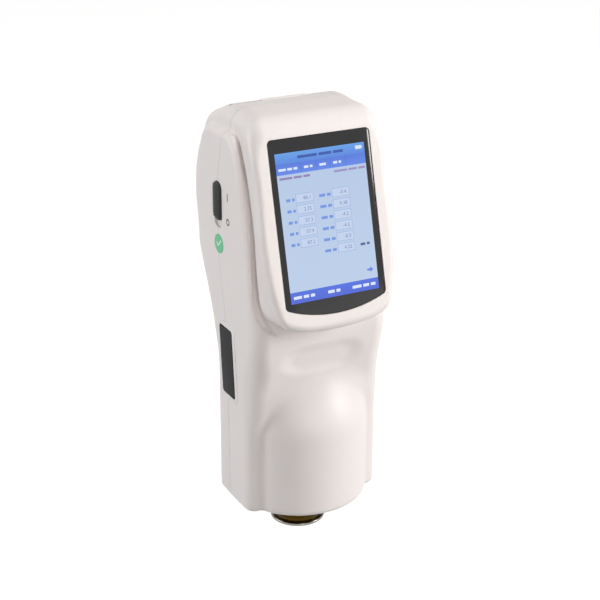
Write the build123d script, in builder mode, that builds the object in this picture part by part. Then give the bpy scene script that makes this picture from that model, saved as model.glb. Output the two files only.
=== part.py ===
from build123d import *
import math
import os

os.makedirs("parts", exist_ok=True)

# Portable spectrophotometer: a hand-held colour meter that stands on its measuring ring.
# X runs across the screen, Y from the screen to the back and Z up. The origin is the centre
# of the measuring port, in the face that rests on the sample. All sizes are in millimetres.

# Casing
body_width = 77.0          # over the two flat side walls
spine_step = 3.0           # the raised centre with the screen stands in from the sides by this
base_height = 17.5         # underside of the casing above the measuring face
crown_height = 231.0       # top of the head
shoulder_drop = 12.5       # the side walls end this far below the crown
wall = 2.4
side_round = 9.0           # rounding between the side walls and the front and back
spine_round = 4.5
base_round = 2.0
foot_front = -21.0         # front of the grip at its foot, beside the dome
neck_front = -27.5         # front of the grip under the chin
grip_back = 22.8
head_back = 46.5
chin_drop = 106.5          # lower edge of the raised screen panel, below the crown
chin_sag = 1.7             # lowest point of the curve along its foot, below that edge
chin_lift = 5.0            # the same at its corners, above that edge
chin_round = 6.0
seam_low = 4.0             # where the two shells meet, along the grip
seam_high = 12.5           # the same, beside the screen

# Dome over the integrating sphere, coaxial with the measuring port
dome_margin = 1.8          # the dome is narrower than the casing by this on each side
dome_shoulder = 61.0       # height where the dome starts to close

# Screen
screen_tilt = 14.5         # the screen leans back, in degrees
screen_y = -30.94          # centre of the lit area
screen_drop = 53.15        # the same, below the crown
bezel_lift = 0.8           # bezel in front of the lit plane
glass_lift = 0.3           # front of the window in front of the lit plane
glass_thick = 1.1
bezel_margin = 7.55        # beside the window
glass_top = 43.4           # from the screen's centre, along its slope
glass_corner_drop = 39.0   # lower corners of the window, below the centre
glass_arc_drop = 44.6      # lowest point of the curved lower edge
glass_round = 2.5
glass_gap = 0.15
module_margin = 1.75       # the display is narrower than the window by this on each side
module_top = 41.2
module_drop = 38.2
module_thick = 3.2
module_gap = 0.2
gasket_margin = 1.8
bracket_thick = 1.0
bracket_ear = 1.8          # the bracket reaches this far past its screws
bracket_top = 36.0         # from the screen's centre, along its slope
bracket_drop = 33.5
bracket_site_gap = 0.3
bracket_site_v = 28.0

# Oblong dish in the front, under the chin
dish_drop = 17.5           # below the panel's lower edge
dish_length = 44.0
dish_width = 12.5
dish_depth = 0.7

# Screws
screw_shank = 1.4          # radius
screw_head = 2.7           # radius
screw_head_thick = 1.8
screw_pocket = 3.2         # radius of the pocket that hides a casing screw's head
screw_pocket_depth = 5.0
screw_gap = 0.2
boss_radius = 4.6
thread_bite = 8.0
casing_site_margin = 9.0   # screws in from the side walls
casing_site_low = 27.5
casing_site_drop = 3.0     # upper screws below the panel's lower edge
board_shank = 1.1
board_head = 2.2
board_head_thick = 1.4
board_bite = 7.0           # length of a board screw under its head
board_boss = 2.6
small_shank = 0.8
small_head = 1.6
small_head_thick = 1.0
small_bite = 3.0
small_boss = 2.2
drive_width = 0.7          # slots of the cross recess
drive_depth = 0.6

# Measuring port
port_radius = 4.0
plate_radius = 14.7
plate_thick = 1.6
plate_chamfer = 0.3
neck_low_radius = 13.4
neck_top_radius = 15.4
neck_bore = 11.0
neck_flange = 20.0
neck_flange_thick = 2.5
neck_gap = 0.6
cone_top_radius = 8.6

# Integrating sphere
sphere_radius = 17.4       # inside
sphere_wall = 2.2
sphere_seat = 10.0         # radius where the ball meets the top of the neck's flange
sphere_foot = 13.0
sphere_foot_thick = 3.0
crown_radius = 15.0        # flat top of the sphere, which carries the lamps
crown_rise = 19.0          # top of it above the sphere's centre
crown_thick = 7.0
flange_thick = 2.0
flange_length = 50.0
flange_front = -21.0
flange_back = 19.0
flange_site_x = 21.0
flange_site_front = -17.0
flange_site_back = 13.0
flange_boss_depth = 6.0
lamp_board_thick = 1.2
lamp_count = 8
lamp_ring = 11.0
lamp_radius = 2.0
lamp_length = 4.0
lamp_gap = 0.1
barrel_radius = 6.5
barrel_bore = 4.8
barrel_stop = 3.8          # bore past the lens
barrel_length = 18.0
barrel_gap = 0.5
lens_seat = 10.0           # the lens's upper rim above the foot of the barrel
lens_edge = 1.2
lens_rise = 1.4
lens_crown = 3.6

# Spectrometer
cell_left_margin = 15.5    # between the outside of the side walls and the cell
cell_right_margin = 7.5
cell_depth = 31.0
cell_height = 22.0
cell_wall = 1.8
cell_lid = 1.8
cell_boss = 5.0            # length of the screw bosses inside the cell
cell_site_x = 14.0
lid_lip = 1.2
lid_gap = 0.15
slit_radius = 4.0
slit_thick = 0.4
slit_width = 0.3
slit_length = 4.0
slit_window = 3.0
mirror_width = 9.0
mirror_rise = 12.0
mirror_reach = 5.0
mirror_base = 4.0
mirror_step = 2.0
grating_width = 18.0
grating_height = 16.0
grating_thick = 4.0
sensor_thick = 1.6
sensor_width = 26.0
sensor_height = 17.0
sensor_chip_width = 20.0
sensor_chip_height = 5.0
sensor_chip_thick = 2.0
chassis_thick = 1.5
leg_inner = 17.0
leg_outer = 25.0
leg_foot = 6.5
rib_x = 18.0
rib_thick = 2.0
rib_length = 15.0

# Main board, behind the screen
board_thick = 1.6
board_margin = 13.5        # in from the side walls
board_height = 76.0
board_drop = 24.0          # its upper edge below the crown
board_stand = 4.0
board_side_margin = 3.0    # its screws in from its sides, and from its ends
board_site_margin = 4.0

# Battery bay, in the back of the head
bay_wall = 1.6
bay_inset = 2.0            # narrower than the door on each side
bay_height = 55.0
bay_drop = 23.0            # its upper end below the crown
bay_front = 23.0
bay_gap = 0.3
bay_site_inset = 5.5       # its screws in from the side walls
bay_site_low = 7.0         # above the lower end of the bay
bay_site_high = 46.0
battery_side_gap = 1.4
battery_thick = 16.0
battery_height = 44.0
battery_gap = 0.5
battery_round = 2.0
contact_pitch = 8.0
contact_width = 3.0
contact_length = 8.0
contact_thick = 0.5
contact_rise = 2.0
door_margin = 5.5          # in from the sides of the raised centre
door_drop = 81.0           # its lower edge below the crown
door_front = 15.0          # where the door's top edge crosses the crown
door_gap = 0.35
door_tab_width = 25.0
door_tab_length = 4.0
door_tab_lift = 0.6

# Power slider, in the left wall
slider_y = 13.0
slider_drop = 59.0         # its lower end below the crown
slider_length = 20.0
slider_width = 8.6
slider_proud = 1.2
slider_round = 3.6
slider_travel = 3.7
slider_gap = 0.25
slider_recess = 1.3
slider_groove = 0.5
slider_groove_pitch = 2.4
slider_stem_width = 3.0
slider_stem_length = 5.0
slider_stem_reach = 2.6
switch_depth = 6.0
switch_width = 8.0
switch_length = 17.0

# Measure button, in the right wall
button_y = -3.0
button_drop = 85.0         # below the crown
button_width = 11.0
button_length = 19.0
button_proud = 1.0
button_travel = 0.8
button_gap = 0.25
button_rim = 1.0
button_rim_thick = 1.4
button_rest = 0.1          # the rim stands this far inside the wall
button_crown = 0.5
tact_size = 6.0
tact_thick = 3.4
tact_stem = 1.75
tact_gap = 0.1
tact_stem_reach = 1.2      # the plunger's end inside the switch, at rest
tact_clear = 0.2
button_board_thick = 1.2
button_board_width = 10.0
button_board_length = 32.0
button_site = 13.5         # screws above and below the button's centre

# Interface port, in the left wall
hatch_y = 4.4
hatch_drop = 27.2          # below the panel's lower edge
hatch_width = 14.2
hatch_height = 36.6
hatch_lean = 3.4           # the lower end stands this much further forward
hatch_margin = 3.0
hatch_proud = 0.5
hatch_gap = 0.3
hatch_thick = 2.2
hatch_pocket = 3.6
hatch_floor = 1.4
hatch_rim = 1.5
hatch_frame_proud = 0.3
hatch_round = 1.5
hatch_hinge_gap = 0.1
usb_width = 7.8
usb_thick = 4.0
usb_depth = 8.5
usb_wall = 0.4
usb_tongue = 0.8
usb_lift = 7.7             # above the middle of the port
jack_size = 8.4
jack_depth = 9.5
jack_radius = 2.8
jack_pin = 0.8
jack_drop = 8.3            # below it
socket_lift = 1.4          # the sockets stand this far out of the pocket's floor
socket_gap = 0.1
io_board_y = 8.6
io_board_thick = 1.4
io_board_width = 9.0
io_board_margin = 3.5

# Small parts
sticker_radius = 5.0
sticker_thick = 0.2
sticker_y = 12.4
sticker_drop = 71.6        # below the crown
buzzer_radius = 6.0
buzzer_thick = 4.0
buzzer_hole = 1.0
buzzer_x = -14.0
buzzer_lift = 19.0         # above the board's lower edge
ribbon_width = 16.0
ribbon_thick = 0.3
cable_gap = 0.1
cable_drop = 1.0           # the cable's far end lies this much lower
connector_height = 4.0
connector_thick = 2.0

# Worked out from the sizes above
half = body_width / 2
spine_half = half - spine_step
spine_width = 2 * spine_half
dome_radius = half - dome_margin
shoulder_height = crown_height - shoulder_drop
chin_height = crown_height - chin_drop
chin_low = chin_height - chin_sag
chin_corner = chin_height + chin_lift
screen_z = crown_height - screen_drop
glass_width = spine_width - 2 * bezel_margin
module_width = glass_width - 2 * module_margin
bracket_site_x = module_width / 2 + gasket_margin + small_boss + bracket_site_gap
bracket_width = 2 * (bracket_site_x + bracket_ear)
dish_height = chin_height - dish_drop
casing_site_x = half - casing_site_margin
casing_site_high = chin_height - casing_site_drop
cell_left = cell_left_margin - half
cell_right = half - cell_right_margin
board_width = body_width - 2 * board_margin
board_high = crown_height - board_drop
board_low = board_high - board_height
board_site_x = board_width / 2 - board_side_margin
door_width = spine_width - 2 * door_margin
door_low = crown_height - door_drop
bay_width = door_width - 2 * bay_inset
bay_high = crown_height - bay_drop
bay_low = bay_high - bay_height
bay_site_x = half - bay_site_inset
battery_width = bay_width - 2 * bay_wall - 2 * battery_side_gap
slider_low = crown_height - slider_drop
button_z = crown_height - button_drop
hatch_z = chin_height - hatch_drop
usb_z = hatch_z + usb_lift
jack_z = hatch_z - jack_drop
sticker_z = crown_height - sticker_drop
tilt = math.radians(screen_tilt)
screen = Plane(
    origin=(0, screen_y, screen_z),
    x_dir=(1, 0, 0),
    z_dir=(0, -math.cos(tilt), math.sin(tilt)),
)


def bezel_y(height, lift=bezel_lift):
    """Y of a plane parallel to the screen, at a height."""
    return screen_y - lift / math.cos(tilt) - (screen_z - height) * math.tan(tilt)


# Outlines seen from the side, as (Y, Z, radius of the corner)
trunk_outline = [
    (foot_front, base_height, 0),
    (foot_front - 1.3, chin_height - 58.5, 40),
    (neck_front, chin_height - 31.5, 30),
    (neck_front, chin_height + 13.5, 25),
    (neck_front + 18.5, shoulder_height, 12),
    (head_back - 13.5, shoulder_height, 14),
    (head_back - 4.0, shoulder_height - 15.5, 20),
    (head_back, shoulder_height - 30.5, 30),
    (head_back, door_low + 2.0, 12),
    (grip_back + 0.7, chin_height - 14.5, 30),
    (grip_back, base_height, 0),
]
spine_outline = [
    (neck_front + 3.5, chin_height - 8.0, 0),
    (bezel_y(chin_height), chin_height, 7.5),
    (bezel_y(crown_height - 1.7), crown_height - 1.7, 11),
    (neck_front + 31.5, crown_height + 0.3, 60),
    (head_back - 15.5, crown_height - 2.7, 14),
    (head_back - 0.2, crown_height - 31.0, 20),
    (head_back - 3.5, crown_height - 59.0, 0),
    (neck_front + 42.5, door_low, 0),
]
seam_outline = [
    (seam_low, 0, 0),
    (seam_low, chin_height - 12.5, 20),
    (seam_high, door_low, 20),
    (seam_high, crown_height - 35.0, 20),
    (seam_high - 4.0, crown_height - 19.0, 10),
    (seam_high - 10.0, crown_height + 10.0, 0),
    (-body_width, crown_height + 10.0, 0),
    (-body_width, 0, 0),
]
flank_end = crown_height - 41.0    # the raised centre's flanks run out into the trunk below this


def slab(outline, width, inset=0, rounding=0, square=None):
    """A side outline extruded across the body, with the edges of its two flanks rounded."""
    reach = width / 2 - inset
    with BuildPart() as form:
        with BuildSketch(Plane.YZ.offset(-reach)) as side:
            with BuildLine():
                Polyline(*[(y, z) for y, z, r in outline], close=True)
            make_face()
            for y, z, r in outline:
                if r:
                    fillet(side.vertices().sort_by_distance(Vector(y, z))[0], r)
            if inset:
                offset(amount=-inset, kind=Kind.INTERSECTION)
        extrude(amount=2 * reach)
        if rounding:
            flank = form.edges().filter_by(lambda e: abs(abs(e.center().X) - reach) < 0.01)
            fillet(flank.filter_by(lambda e: not square(e.center())), rounding - inset)
    return form.part


def dome_form(inset=0):
    """The bulge over the sphere: an upright half cylinder with a ball-shaped top."""
    floor = base_height + inset
    radius = dome_radius - inset
    with BuildPart() as form:
        with BuildSketch(Plane.XZ):
            with Locations((0, dome_shoulder)):
                Circle(radius)
                Rectangle(2 * radius, 2 * radius, align=(Align.MAX, Align.CENTER),
                          mode=Mode.SUBTRACT)
                Rectangle(2 * radius, 2 * radius, align=(Align.MIN, Align.MAX),
                          mode=Mode.SUBTRACT)
            with Locations((0, floor)):
                Rectangle(radius, dome_shoulder - floor, align=Align.MIN)
        revolve(axis=Axis.Z)
        split(bisect_by=Plane.XZ, keep=Keep.TOP)
    return form.part


def chin_mask(inset):
    """Front view of the raised centre: its lower edge is a shallow arc with round corners."""
    edge = spine_half - inset
    corner = chin_corner + inset
    with BuildPart() as mask:
        with BuildSketch(Plane.XZ.offset(-body_width)):
            with BuildLine():
                Polyline((-edge, corner), (-edge, 2 * crown_height), (edge, 2 * crown_height),
                         (edge, corner))
                ThreePointArc((edge, corner), (0, chin_low + inset), (-edge, corner))
            make_face()
        extrude(amount=2 * body_width)
        fillet(mask.edges().filter_by(Axis.Y).group_by(Axis.Z)[0], chin_round - inset)
    return mask.part


def casing_form(inset=0):
    """The outside of the casing, or with an inset the hollow inside it."""
    floor = base_height + inset
    with BuildPart() as form:
        add(slab(spine_outline, spine_width, inset, spine_round,
                 lambda c: c.Y > neck_front + 1 and c.Z < flank_end))
        add(chin_mask(inset), mode=Mode.INTERSECT)
        add(slab(trunk_outline, body_width, inset, side_round, lambda c: c.Z < floor + 1))
        add(dome_form(inset))
    return form.part


outer = casing_form()
inner = casing_form(wall)
inside_wall = half - wall
floor_top = base_height + wall
glass_back = glass_lift - glass_thick
wall_back = bezel_lift - wall
module_back = glass_back - module_thick
module_centre = (module_top - module_drop) / 2
module_height = module_top + module_drop
sphere_outer = sphere_radius + sphere_wall
flange_top = floor_top + neck_flange_thick
sphere_z = flange_top + math.sqrt(sphere_outer ** 2 - sphere_seat ** 2)
crown_top = sphere_z + crown_rise
sphere_top = sphere_z + flange_thick
cell_low = crown_top + barrel_length
cell_floor = cell_low + cell_wall
cell_high = cell_low + cell_height
cell_back = cell_depth / 2
chassis_back = cell_back + chassis_thick
screw_seat = grip_back - screw_pocket_depth
board_back = bay_front - board_stand
board_face = board_back - board_thick
bay_back = bay_front + bay_wall
bay_floor = bay_low + bay_wall
contact_top = bay_floor + contact_rise
slider_centre = slider_low + slider_length / 2
slot_centre = slider_centre - slider_travel / 2
rim_face = inside_wall - button_rest
plunger_start = rim_face - button_rim_thick
tact_face = plunger_start - button_travel - tact_clear
tact_back = tact_face - tact_thick
pocket_floor = hatch_pocket - half
pocket_back = pocket_floor + hatch_floor

casing_sites = [
    (side * casing_site_x, height)
    for side in (-1, 1)
    for height in (casing_site_low, casing_site_high)
]
bracket_sites = [
    (side * bracket_site_x, place * bracket_site_v)
    for side in (-1, 1)
    for place in (-1, 1)
]
board_sites = [
    (side * board_site_x, height)
    for side in (-1, 1)
    for height in (board_low + board_site_margin, board_high - board_site_margin)
]
bay_sites = [
    (side * bay_site_x, height)
    for side in (-1, 1)
    for height in (bay_low + bay_site_low, bay_low + bay_site_high)
]
button_sites = [(button_y, button_z - button_site), (button_y, button_z + button_site)]
front_flange_sites = [(-flange_site_x, flange_site_front), (flange_site_x, flange_site_front)]
rear_flange_sites = [(-flange_site_x, flange_site_back), (flange_site_x, flange_site_back)]
cell_sites = [
    (side * cell_site_x, (cell_low + cell_high) / 2)
    for side in (-1, 1)
]


def window_face(grow=0):
    """The window's outline, with its curved lower edge."""
    corner = glass_width / 2
    with BuildSketch() as face:
        with BuildLine():
            Polyline((-corner, -glass_corner_drop), (-corner, glass_top), (corner, glass_top),
                     (corner, -glass_corner_drop))
            ThreePointArc((corner, -glass_corner_drop), (0, -glass_arc_drop),
                          (-corner, -glass_corner_drop))
        make_face()
        fillet(face.vertices(), glass_round)
        if grow:
            offset(amount=grow)
    return face.sketch


def hatch_face(grow=0):
    """The leaning outline of the port cover, in Y and Z."""
    rise = hatch_height / 2
    across = hatch_width / 2
    lean = hatch_lean / 2
    with BuildSketch() as face:
        with Locations((hatch_y, hatch_z)):
            Polygon((lean - across, rise), (lean + across, rise), (across - lean, -rise),
                    (-across - lean, -rise), align=None)
        fillet(face.vertices(), hatch_round)
        if grow:
            offset(amount=grow)
    return face.sketch


def door_region(grow=0):
    """The part of the casing that belongs to the battery door."""
    with BuildPart() as region:
        with BuildSketch(Plane.YZ.offset(-door_width / 2 - grow)):
            Rectangle(head_back, crown_height, align=Align.MIN)
        extrude(amount=door_width + 2 * grow)
    return region.part.moved(Location((0, door_front - grow, door_low - grow)))


# Posts and ribs that stand inside the casing
with BuildPart() as posts:
    with BuildSketch(Plane.XZ.offset(-head_back)):
        with Locations(*casing_sites):
            Circle(boss_radius)
    extrude(amount=2 * head_back)
    with BuildSketch(Plane.XZ.offset(-bay_back)):
        with Locations(*bay_sites):
            Circle(board_boss)
    extrude(amount=-head_back)
    with BuildSketch(screen):
        with Locations(*bracket_sites):
            Circle(small_boss)
    extrude(amount=module_back)
    with BuildSketch(Plane.YZ.offset(half)):
        with Locations(*button_sites):
            Circle(small_boss)
    extrude(amount=tact_back - half)
    with BuildSketch(Plane.XY.offset(base_height)):
        with Locations(*front_flange_sites):
            Circle(board_boss)
    extrude(amount=sphere_z - flange_thick - base_height)
    with BuildSketch(Plane.XZ.offset(-chassis_back)):
        with Locations((-rib_x, (cell_low + cell_high) / 2), (rib_x, (cell_low + cell_high) / 2)):
            Rectangle(rib_thick, rib_length)
    extrude(amount=-grip_back)
    add(outer, mode=Mode.INTERSECT)

# The whole casing with its openings, before it is parted into two shells
with BuildPart() as casing:
    add(outer)
    add(inner, mode=Mode.SUBTRACT)
    add(posts.part)
    # Window pocket, and the opening behind it for the display
    with BuildSketch(screen.offset(glass_back)):
        add(window_face(glass_gap))
    extrude(amount=wall, mode=Mode.SUBTRACT)
    with BuildSketch(screen.offset(glass_back)):
        with Locations((0, module_centre)):
            Rectangle(module_width + 2 * module_gap, module_height + 2 * module_gap)
    extrude(amount=-wall, mode=Mode.SUBTRACT)
    # Oblong dish under the chin
    with BuildSketch(Plane.XZ.offset(-neck_front - dish_depth)):
        with Locations((0, dish_height)):
            SlotOverall(dish_length, dish_width)
    extrude(amount=wall, mode=Mode.SUBTRACT)
    # Hole for the measuring neck
    with BuildSketch(Plane.XY.offset(base_height)):
        Circle(neck_top_radius + neck_gap)
    extrude(amount=wall, mode=Mode.SUBTRACT)
    # Recess and slot of the power slider
    with BuildSketch(Plane.YZ.offset(-half)):
        with Locations((slider_y, slot_centre)):
            RectangleRounded(slider_width + 2 * slider_gap,
                             slider_length + slider_travel + 2 * slider_gap, slider_round)
    extrude(amount=slider_recess, mode=Mode.SUBTRACT)
    with BuildSketch(Plane.YZ.offset(-half)):
        with Locations((slider_y, slot_centre)):
            Rectangle(slider_stem_width + 2 * slider_gap,
                      slider_stem_length + slider_travel + 2 * slider_gap)
    extrude(amount=wall, mode=Mode.SUBTRACT)
    # Hole of the measure button
    with BuildSketch(Plane.YZ.offset(half)):
        with Locations((button_y, button_z)):
            SlotOverall(button_length + 2 * button_gap, button_width + 2 * button_gap, rotation=90)
    extrude(amount=-wall, mode=Mode.SUBTRACT)
    # Opening of the interface port
    with BuildSketch(Plane.YZ.offset(-half)):
        add(hatch_face(hatch_margin))
    extrude(amount=wall + hatch_rim, mode=Mode.SUBTRACT)
    # Opening of the battery door
    add(door_region(door_gap), mode=Mode.SUBTRACT)

seam = slab(seam_outline, body_width + wall)

with BuildPart() as front_shell:
    add(casing.part)
    add(seam, mode=Mode.INTERSECT)
    with BuildSketch(Plane.XZ.offset(-screw_seat)):
        with Locations(*casing_sites):
            Circle(screw_shank)
    extrude(amount=screw_seat - seam_low + thread_bite, mode=Mode.SUBTRACT)
    with BuildSketch(screen.offset(module_back)):
        with Locations(*bracket_sites):
            Circle(small_shank)
    extrude(amount=small_bite - bracket_thick, mode=Mode.SUBTRACT)
    with BuildSketch(Plane.YZ.offset(tact_back)):
        with Locations(*button_sites):
            Circle(small_shank)
    extrude(amount=small_bite - button_board_thick, mode=Mode.SUBTRACT)
    with BuildSketch(Plane.XY.offset(sphere_z - flange_thick)):
        with Locations(*front_flange_sites):
            Circle(board_shank)
    extrude(amount=2 * flange_thick - board_bite, mode=Mode.SUBTRACT)
front_shell.part.label = "front_shell"
export_step(front_shell.part, "parts/front_shell.step")

with BuildPart() as rear_shell:
    add(casing.part)
    add(seam, mode=Mode.SUBTRACT)
    with BuildSketch(Plane.XZ.offset(-screw_seat)):
        with Locations(*casing_sites):
            Circle(screw_shank + screw_gap)
    extrude(amount=screw_seat, mode=Mode.SUBTRACT)
    with BuildSketch(Plane.XZ.offset(-screw_seat)):
        with Locations(*casing_sites):
            Circle(screw_pocket)
    extrude(amount=-head_back, mode=Mode.SUBTRACT)
    with BuildSketch(Plane.XZ.offset(-bay_back)):
        with Locations(*bay_sites):
            Circle(board_shank)
    extrude(amount=bay_wall - board_bite, mode=Mode.SUBTRACT)
rear_shell.part.label = "rear_shell"
export_step(rear_shell.part, "parts/rear_shell.step")

with BuildPart() as casing_screws:
    with BuildSketch(Plane.XZ.offset(-screw_seat)):
        with Locations(*casing_sites):
            Circle(screw_head)
    extrude(amount=-screw_head_thick)
    with BuildSketch(Plane.XZ.offset(-screw_seat)):
        with Locations(*casing_sites):
            Circle(screw_shank)
    extrude(amount=screw_seat - seam_low + thread_bite)
    with BuildSketch(Plane.XZ.offset(-screw_seat - screw_head_thick)):
        with Locations(*casing_sites):
            Rectangle(drive_width, 1.4 * screw_head)
            Rectangle(1.4 * screw_head, drive_width)
    extrude(amount=drive_depth, mode=Mode.SUBTRACT)
casing_screws.part.label = "casing_screws"
export_step(casing_screws.part, "parts/casing_screws.step")


# Screen
with BuildPart() as touch_window:
    with BuildSketch(screen.offset(glass_back)):
        add(window_face())
    extrude(amount=glass_thick)
touch_window.part.label = "touch_window"
export_step(touch_window.part, "parts/touch_window.step")

with BuildPart() as display_module:
    with BuildSketch(screen.offset(module_back)):
        with Locations((0, module_centre)):
            Rectangle(module_width, module_height)
    extrude(amount=module_thick)
display_module.part.label = "display_module"
export_step(display_module.part, "parts/display_module.step")

with BuildPart() as display_gasket:
    with BuildSketch(screen.offset(module_back)):
        with Locations((0, module_centre)):
            Rectangle(module_width + 2 * gasket_margin, module_height + 2 * gasket_margin)
            Rectangle(module_width + module_gap, module_height + module_gap, mode=Mode.SUBTRACT)
    extrude(amount=wall_back - module_back)
display_gasket.part.label = "display_gasket"
export_step(display_gasket.part, "parts/display_gasket.step")

with BuildPart() as display_bracket:
    with BuildSketch(screen.offset(module_back)):
        with Locations((0, (bracket_top - bracket_drop) / 2)):
            Rectangle(bracket_width, bracket_top + bracket_drop)
            Rectangle(module_width - 2 * boss_radius, bracket_drop, mode=Mode.SUBTRACT)
        with Locations(*bracket_sites):
            Circle(small_shank, mode=Mode.SUBTRACT)
    extrude(amount=-bracket_thick)
display_bracket.part.label = "display_bracket"
export_step(display_bracket.part, "parts/display_bracket.step")

# Flat cable from the foot of the display to its connector on the main board
cable_site = screen.from_local_coords((0, (-module_drop - bracket_drop) / 2, module_back))
connector_z = cable_site.Z - cable_drop
with BuildPart() as display_cable:
    with BuildSketch(Plane.YZ.offset(-ribbon_width / 2)):
        with BuildLine():
            Polyline((cable_site.Y + cable_gap, cable_site.Z),
                     (board_face - connector_thick, connector_z),
                     (board_face - connector_thick, connector_z - ribbon_thick),
                     (cable_site.Y + cable_gap, cable_site.Z - ribbon_thick), close=True)
        make_face()
    extrude(amount=ribbon_width)
display_cable.part.label = "display_cable"
export_step(display_cable.part, "parts/display_cable.step")


# Measuring end
with BuildPart() as aperture_plate:
    with BuildSketch():
        Circle(plate_radius)
        Circle(port_radius, mode=Mode.SUBTRACT)
    extrude(amount=plate_thick)
    chamfer(aperture_plate.edges().filter_by(GeomType.CIRCLE).sort_by(SortBy.RADIUS)[-2:], plate_chamfer)
aperture_plate.part.label = "aperture_plate"
export_step(aperture_plate.part, "parts/aperture_plate.step")

with BuildPart() as aperture_neck:
    with BuildSketch(Plane.XZ):
        with BuildLine():
            Polyline((neck_bore, plate_thick), (neck_low_radius, plate_thick),
                     (neck_top_radius, base_height), (neck_top_radius, floor_top),
                     (neck_flange, floor_top), (neck_flange, flange_top),
                     (neck_bore, flange_top), close=True)
        make_face()
    revolve(axis=Axis.Z)
aperture_neck.part.label = "aperture_neck"
export_step(aperture_neck.part, "parts/aperture_neck.step")

with BuildPart() as light_cone:
    with BuildSketch(Plane.XZ):
        with BuildLine():
            Polyline((port_radius, plate_thick), (neck_bore, plate_thick),
                     (neck_bore, flange_top), (cone_top_radius, flange_top), close=True)
        make_face()
    revolve(axis=Axis.Z)
light_cone.part.label = "light_cone"
export_step(light_cone.part, "parts/light_cone.step")

flange_middle = (flange_front + flange_back) / 2
with BuildPart() as sphere_lower:
    with BuildSketch(Plane.XZ):
        with Locations((0, sphere_z)):
            Circle(sphere_outer)
        with Locations((0, flange_top)):
            Rectangle(2 * sphere_foot, sphere_foot_thick, align=(Align.CENTER, Align.MIN))
        with Locations((0, sphere_z)):
            Circle(sphere_radius, mode=Mode.SUBTRACT)
            Rectangle(4 * sphere_outer, 2 * sphere_outer, align=(Align.CENTER, Align.MIN),
                      mode=Mode.SUBTRACT)
        with Locations((0, flange_top)):
            Rectangle(4 * sphere_outer, sphere_outer, align=(Align.CENTER, Align.MAX),
                      mode=Mode.SUBTRACT)
            Rectangle(2 * cone_top_radius, sphere_outer, mode=Mode.SUBTRACT)
            Rectangle(4 * sphere_outer, 4 * sphere_outer, align=(Align.MAX, Align.CENTER),
                      mode=Mode.SUBTRACT)
    revolve(axis=Axis.Z)
    with BuildSketch(Plane.XY.offset(sphere_z - flange_thick)):
        with Locations((0, flange_middle)):
            RectangleRounded(flange_length, flange_back - flange_front, board_boss)
        Circle(sphere_radius + sphere_wall / 2, mode=Mode.SUBTRACT)
    extrude(amount=flange_thick)
    with BuildSketch(Plane.XY.offset(sphere_z - flange_thick)):
        with Locations(*rear_flange_sites):
            Circle(board_boss)
    extrude(amount=-flange_boss_depth)
    with BuildSketch(Plane.XY.offset(sphere_z)):
        with Locations(*front_flange_sites, *rear_flange_sites):
            Circle(board_shank)
    extrude(amount=-board_bite, mode=Mode.SUBTRACT)
sphere_lower.part.label = "sphere_lower"
export_step(sphere_lower.part, "parts/sphere_lower.step")

with BuildPart() as sphere_upper:
    with BuildSketch(Plane.XZ):
        with Locations((0, sphere_z)):
            Circle(sphere_outer)
        with Locations((0, crown_top)):
            Rectangle(2 * crown_radius, crown_thick, align=(Align.CENTER, Align.MAX))
            Rectangle(4 * sphere_outer, sphere_outer, align=(Align.CENTER, Align.MIN),
                      mode=Mode.SUBTRACT)
            Rectangle(2 * barrel_bore, sphere_outer, mode=Mode.SUBTRACT)
        with Locations((0, sphere_z)):
            Circle(sphere_radius, mode=Mode.SUBTRACT)
            Rectangle(4 * sphere_outer, 2 * sphere_outer, align=(Align.CENTER, Align.MAX),
                      mode=Mode.SUBTRACT)
            Rectangle(4 * sphere_outer, 4 * sphere_outer, align=(Align.MAX, Align.CENTER),
                      mode=Mode.SUBTRACT)
    revolve(axis=Axis.Z)
    with BuildSketch(Plane.XY.offset(sphere_z)):
        with Locations((0, flange_middle)):
            RectangleRounded(flange_length, flange_back - flange_front, board_boss)
        Circle(sphere_radius + sphere_wall / 2, mode=Mode.SUBTRACT)
        with Locations(*front_flange_sites, *rear_flange_sites):
            Circle(board_shank, mode=Mode.SUBTRACT)
    extrude(amount=flange_thick)
    with BuildSketch(Plane.XY.offset(crown_top)):
        with PolarLocations(lamp_ring, lamp_count):
            Circle(lamp_radius + lamp_gap)
    extrude(amount=-crown_thick - flange_thick, mode=Mode.SUBTRACT)
sphere_upper.part.label = "sphere_upper"
export_step(sphere_upper.part, "parts/sphere_upper.step")

with BuildPart() as lamp_board:
    with BuildSketch(Plane.XY.offset(crown_top)):
        Circle(crown_radius)
        Circle(barrel_radius + barrel_gap, mode=Mode.SUBTRACT)
    extrude(amount=lamp_board_thick)
lamp_board.part.label = "lamp_board"
export_step(lamp_board.part, "parts/lamp_board.step")

with BuildPart() as lamps:
    with BuildSketch(Plane.XY.offset(crown_top)):
        with PolarLocations(lamp_ring, lamp_count):
            Circle(lamp_radius)
    extrude(amount=-lamp_length)
    fillet(lamps.edges().group_by(Axis.Z)[0], 0.7 * lamp_radius)
lamps.part.label = "lamps"
export_step(lamps.part, "parts/lamps.step")

with BuildPart() as lens_barrel:
    with BuildSketch(Plane.XY.offset(crown_top)):
        Circle(barrel_radius)
        Circle(barrel_stop, mode=Mode.SUBTRACT)
    extrude(amount=barrel_length)
    with BuildSketch(Plane.XY.offset(crown_top)):
        Circle(barrel_bore)
    extrude(amount=lens_seat, mode=Mode.SUBTRACT)
lens_barrel.part.label = "lens_barrel"
export_step(lens_barrel.part, "parts/lens_barrel.step")

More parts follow.
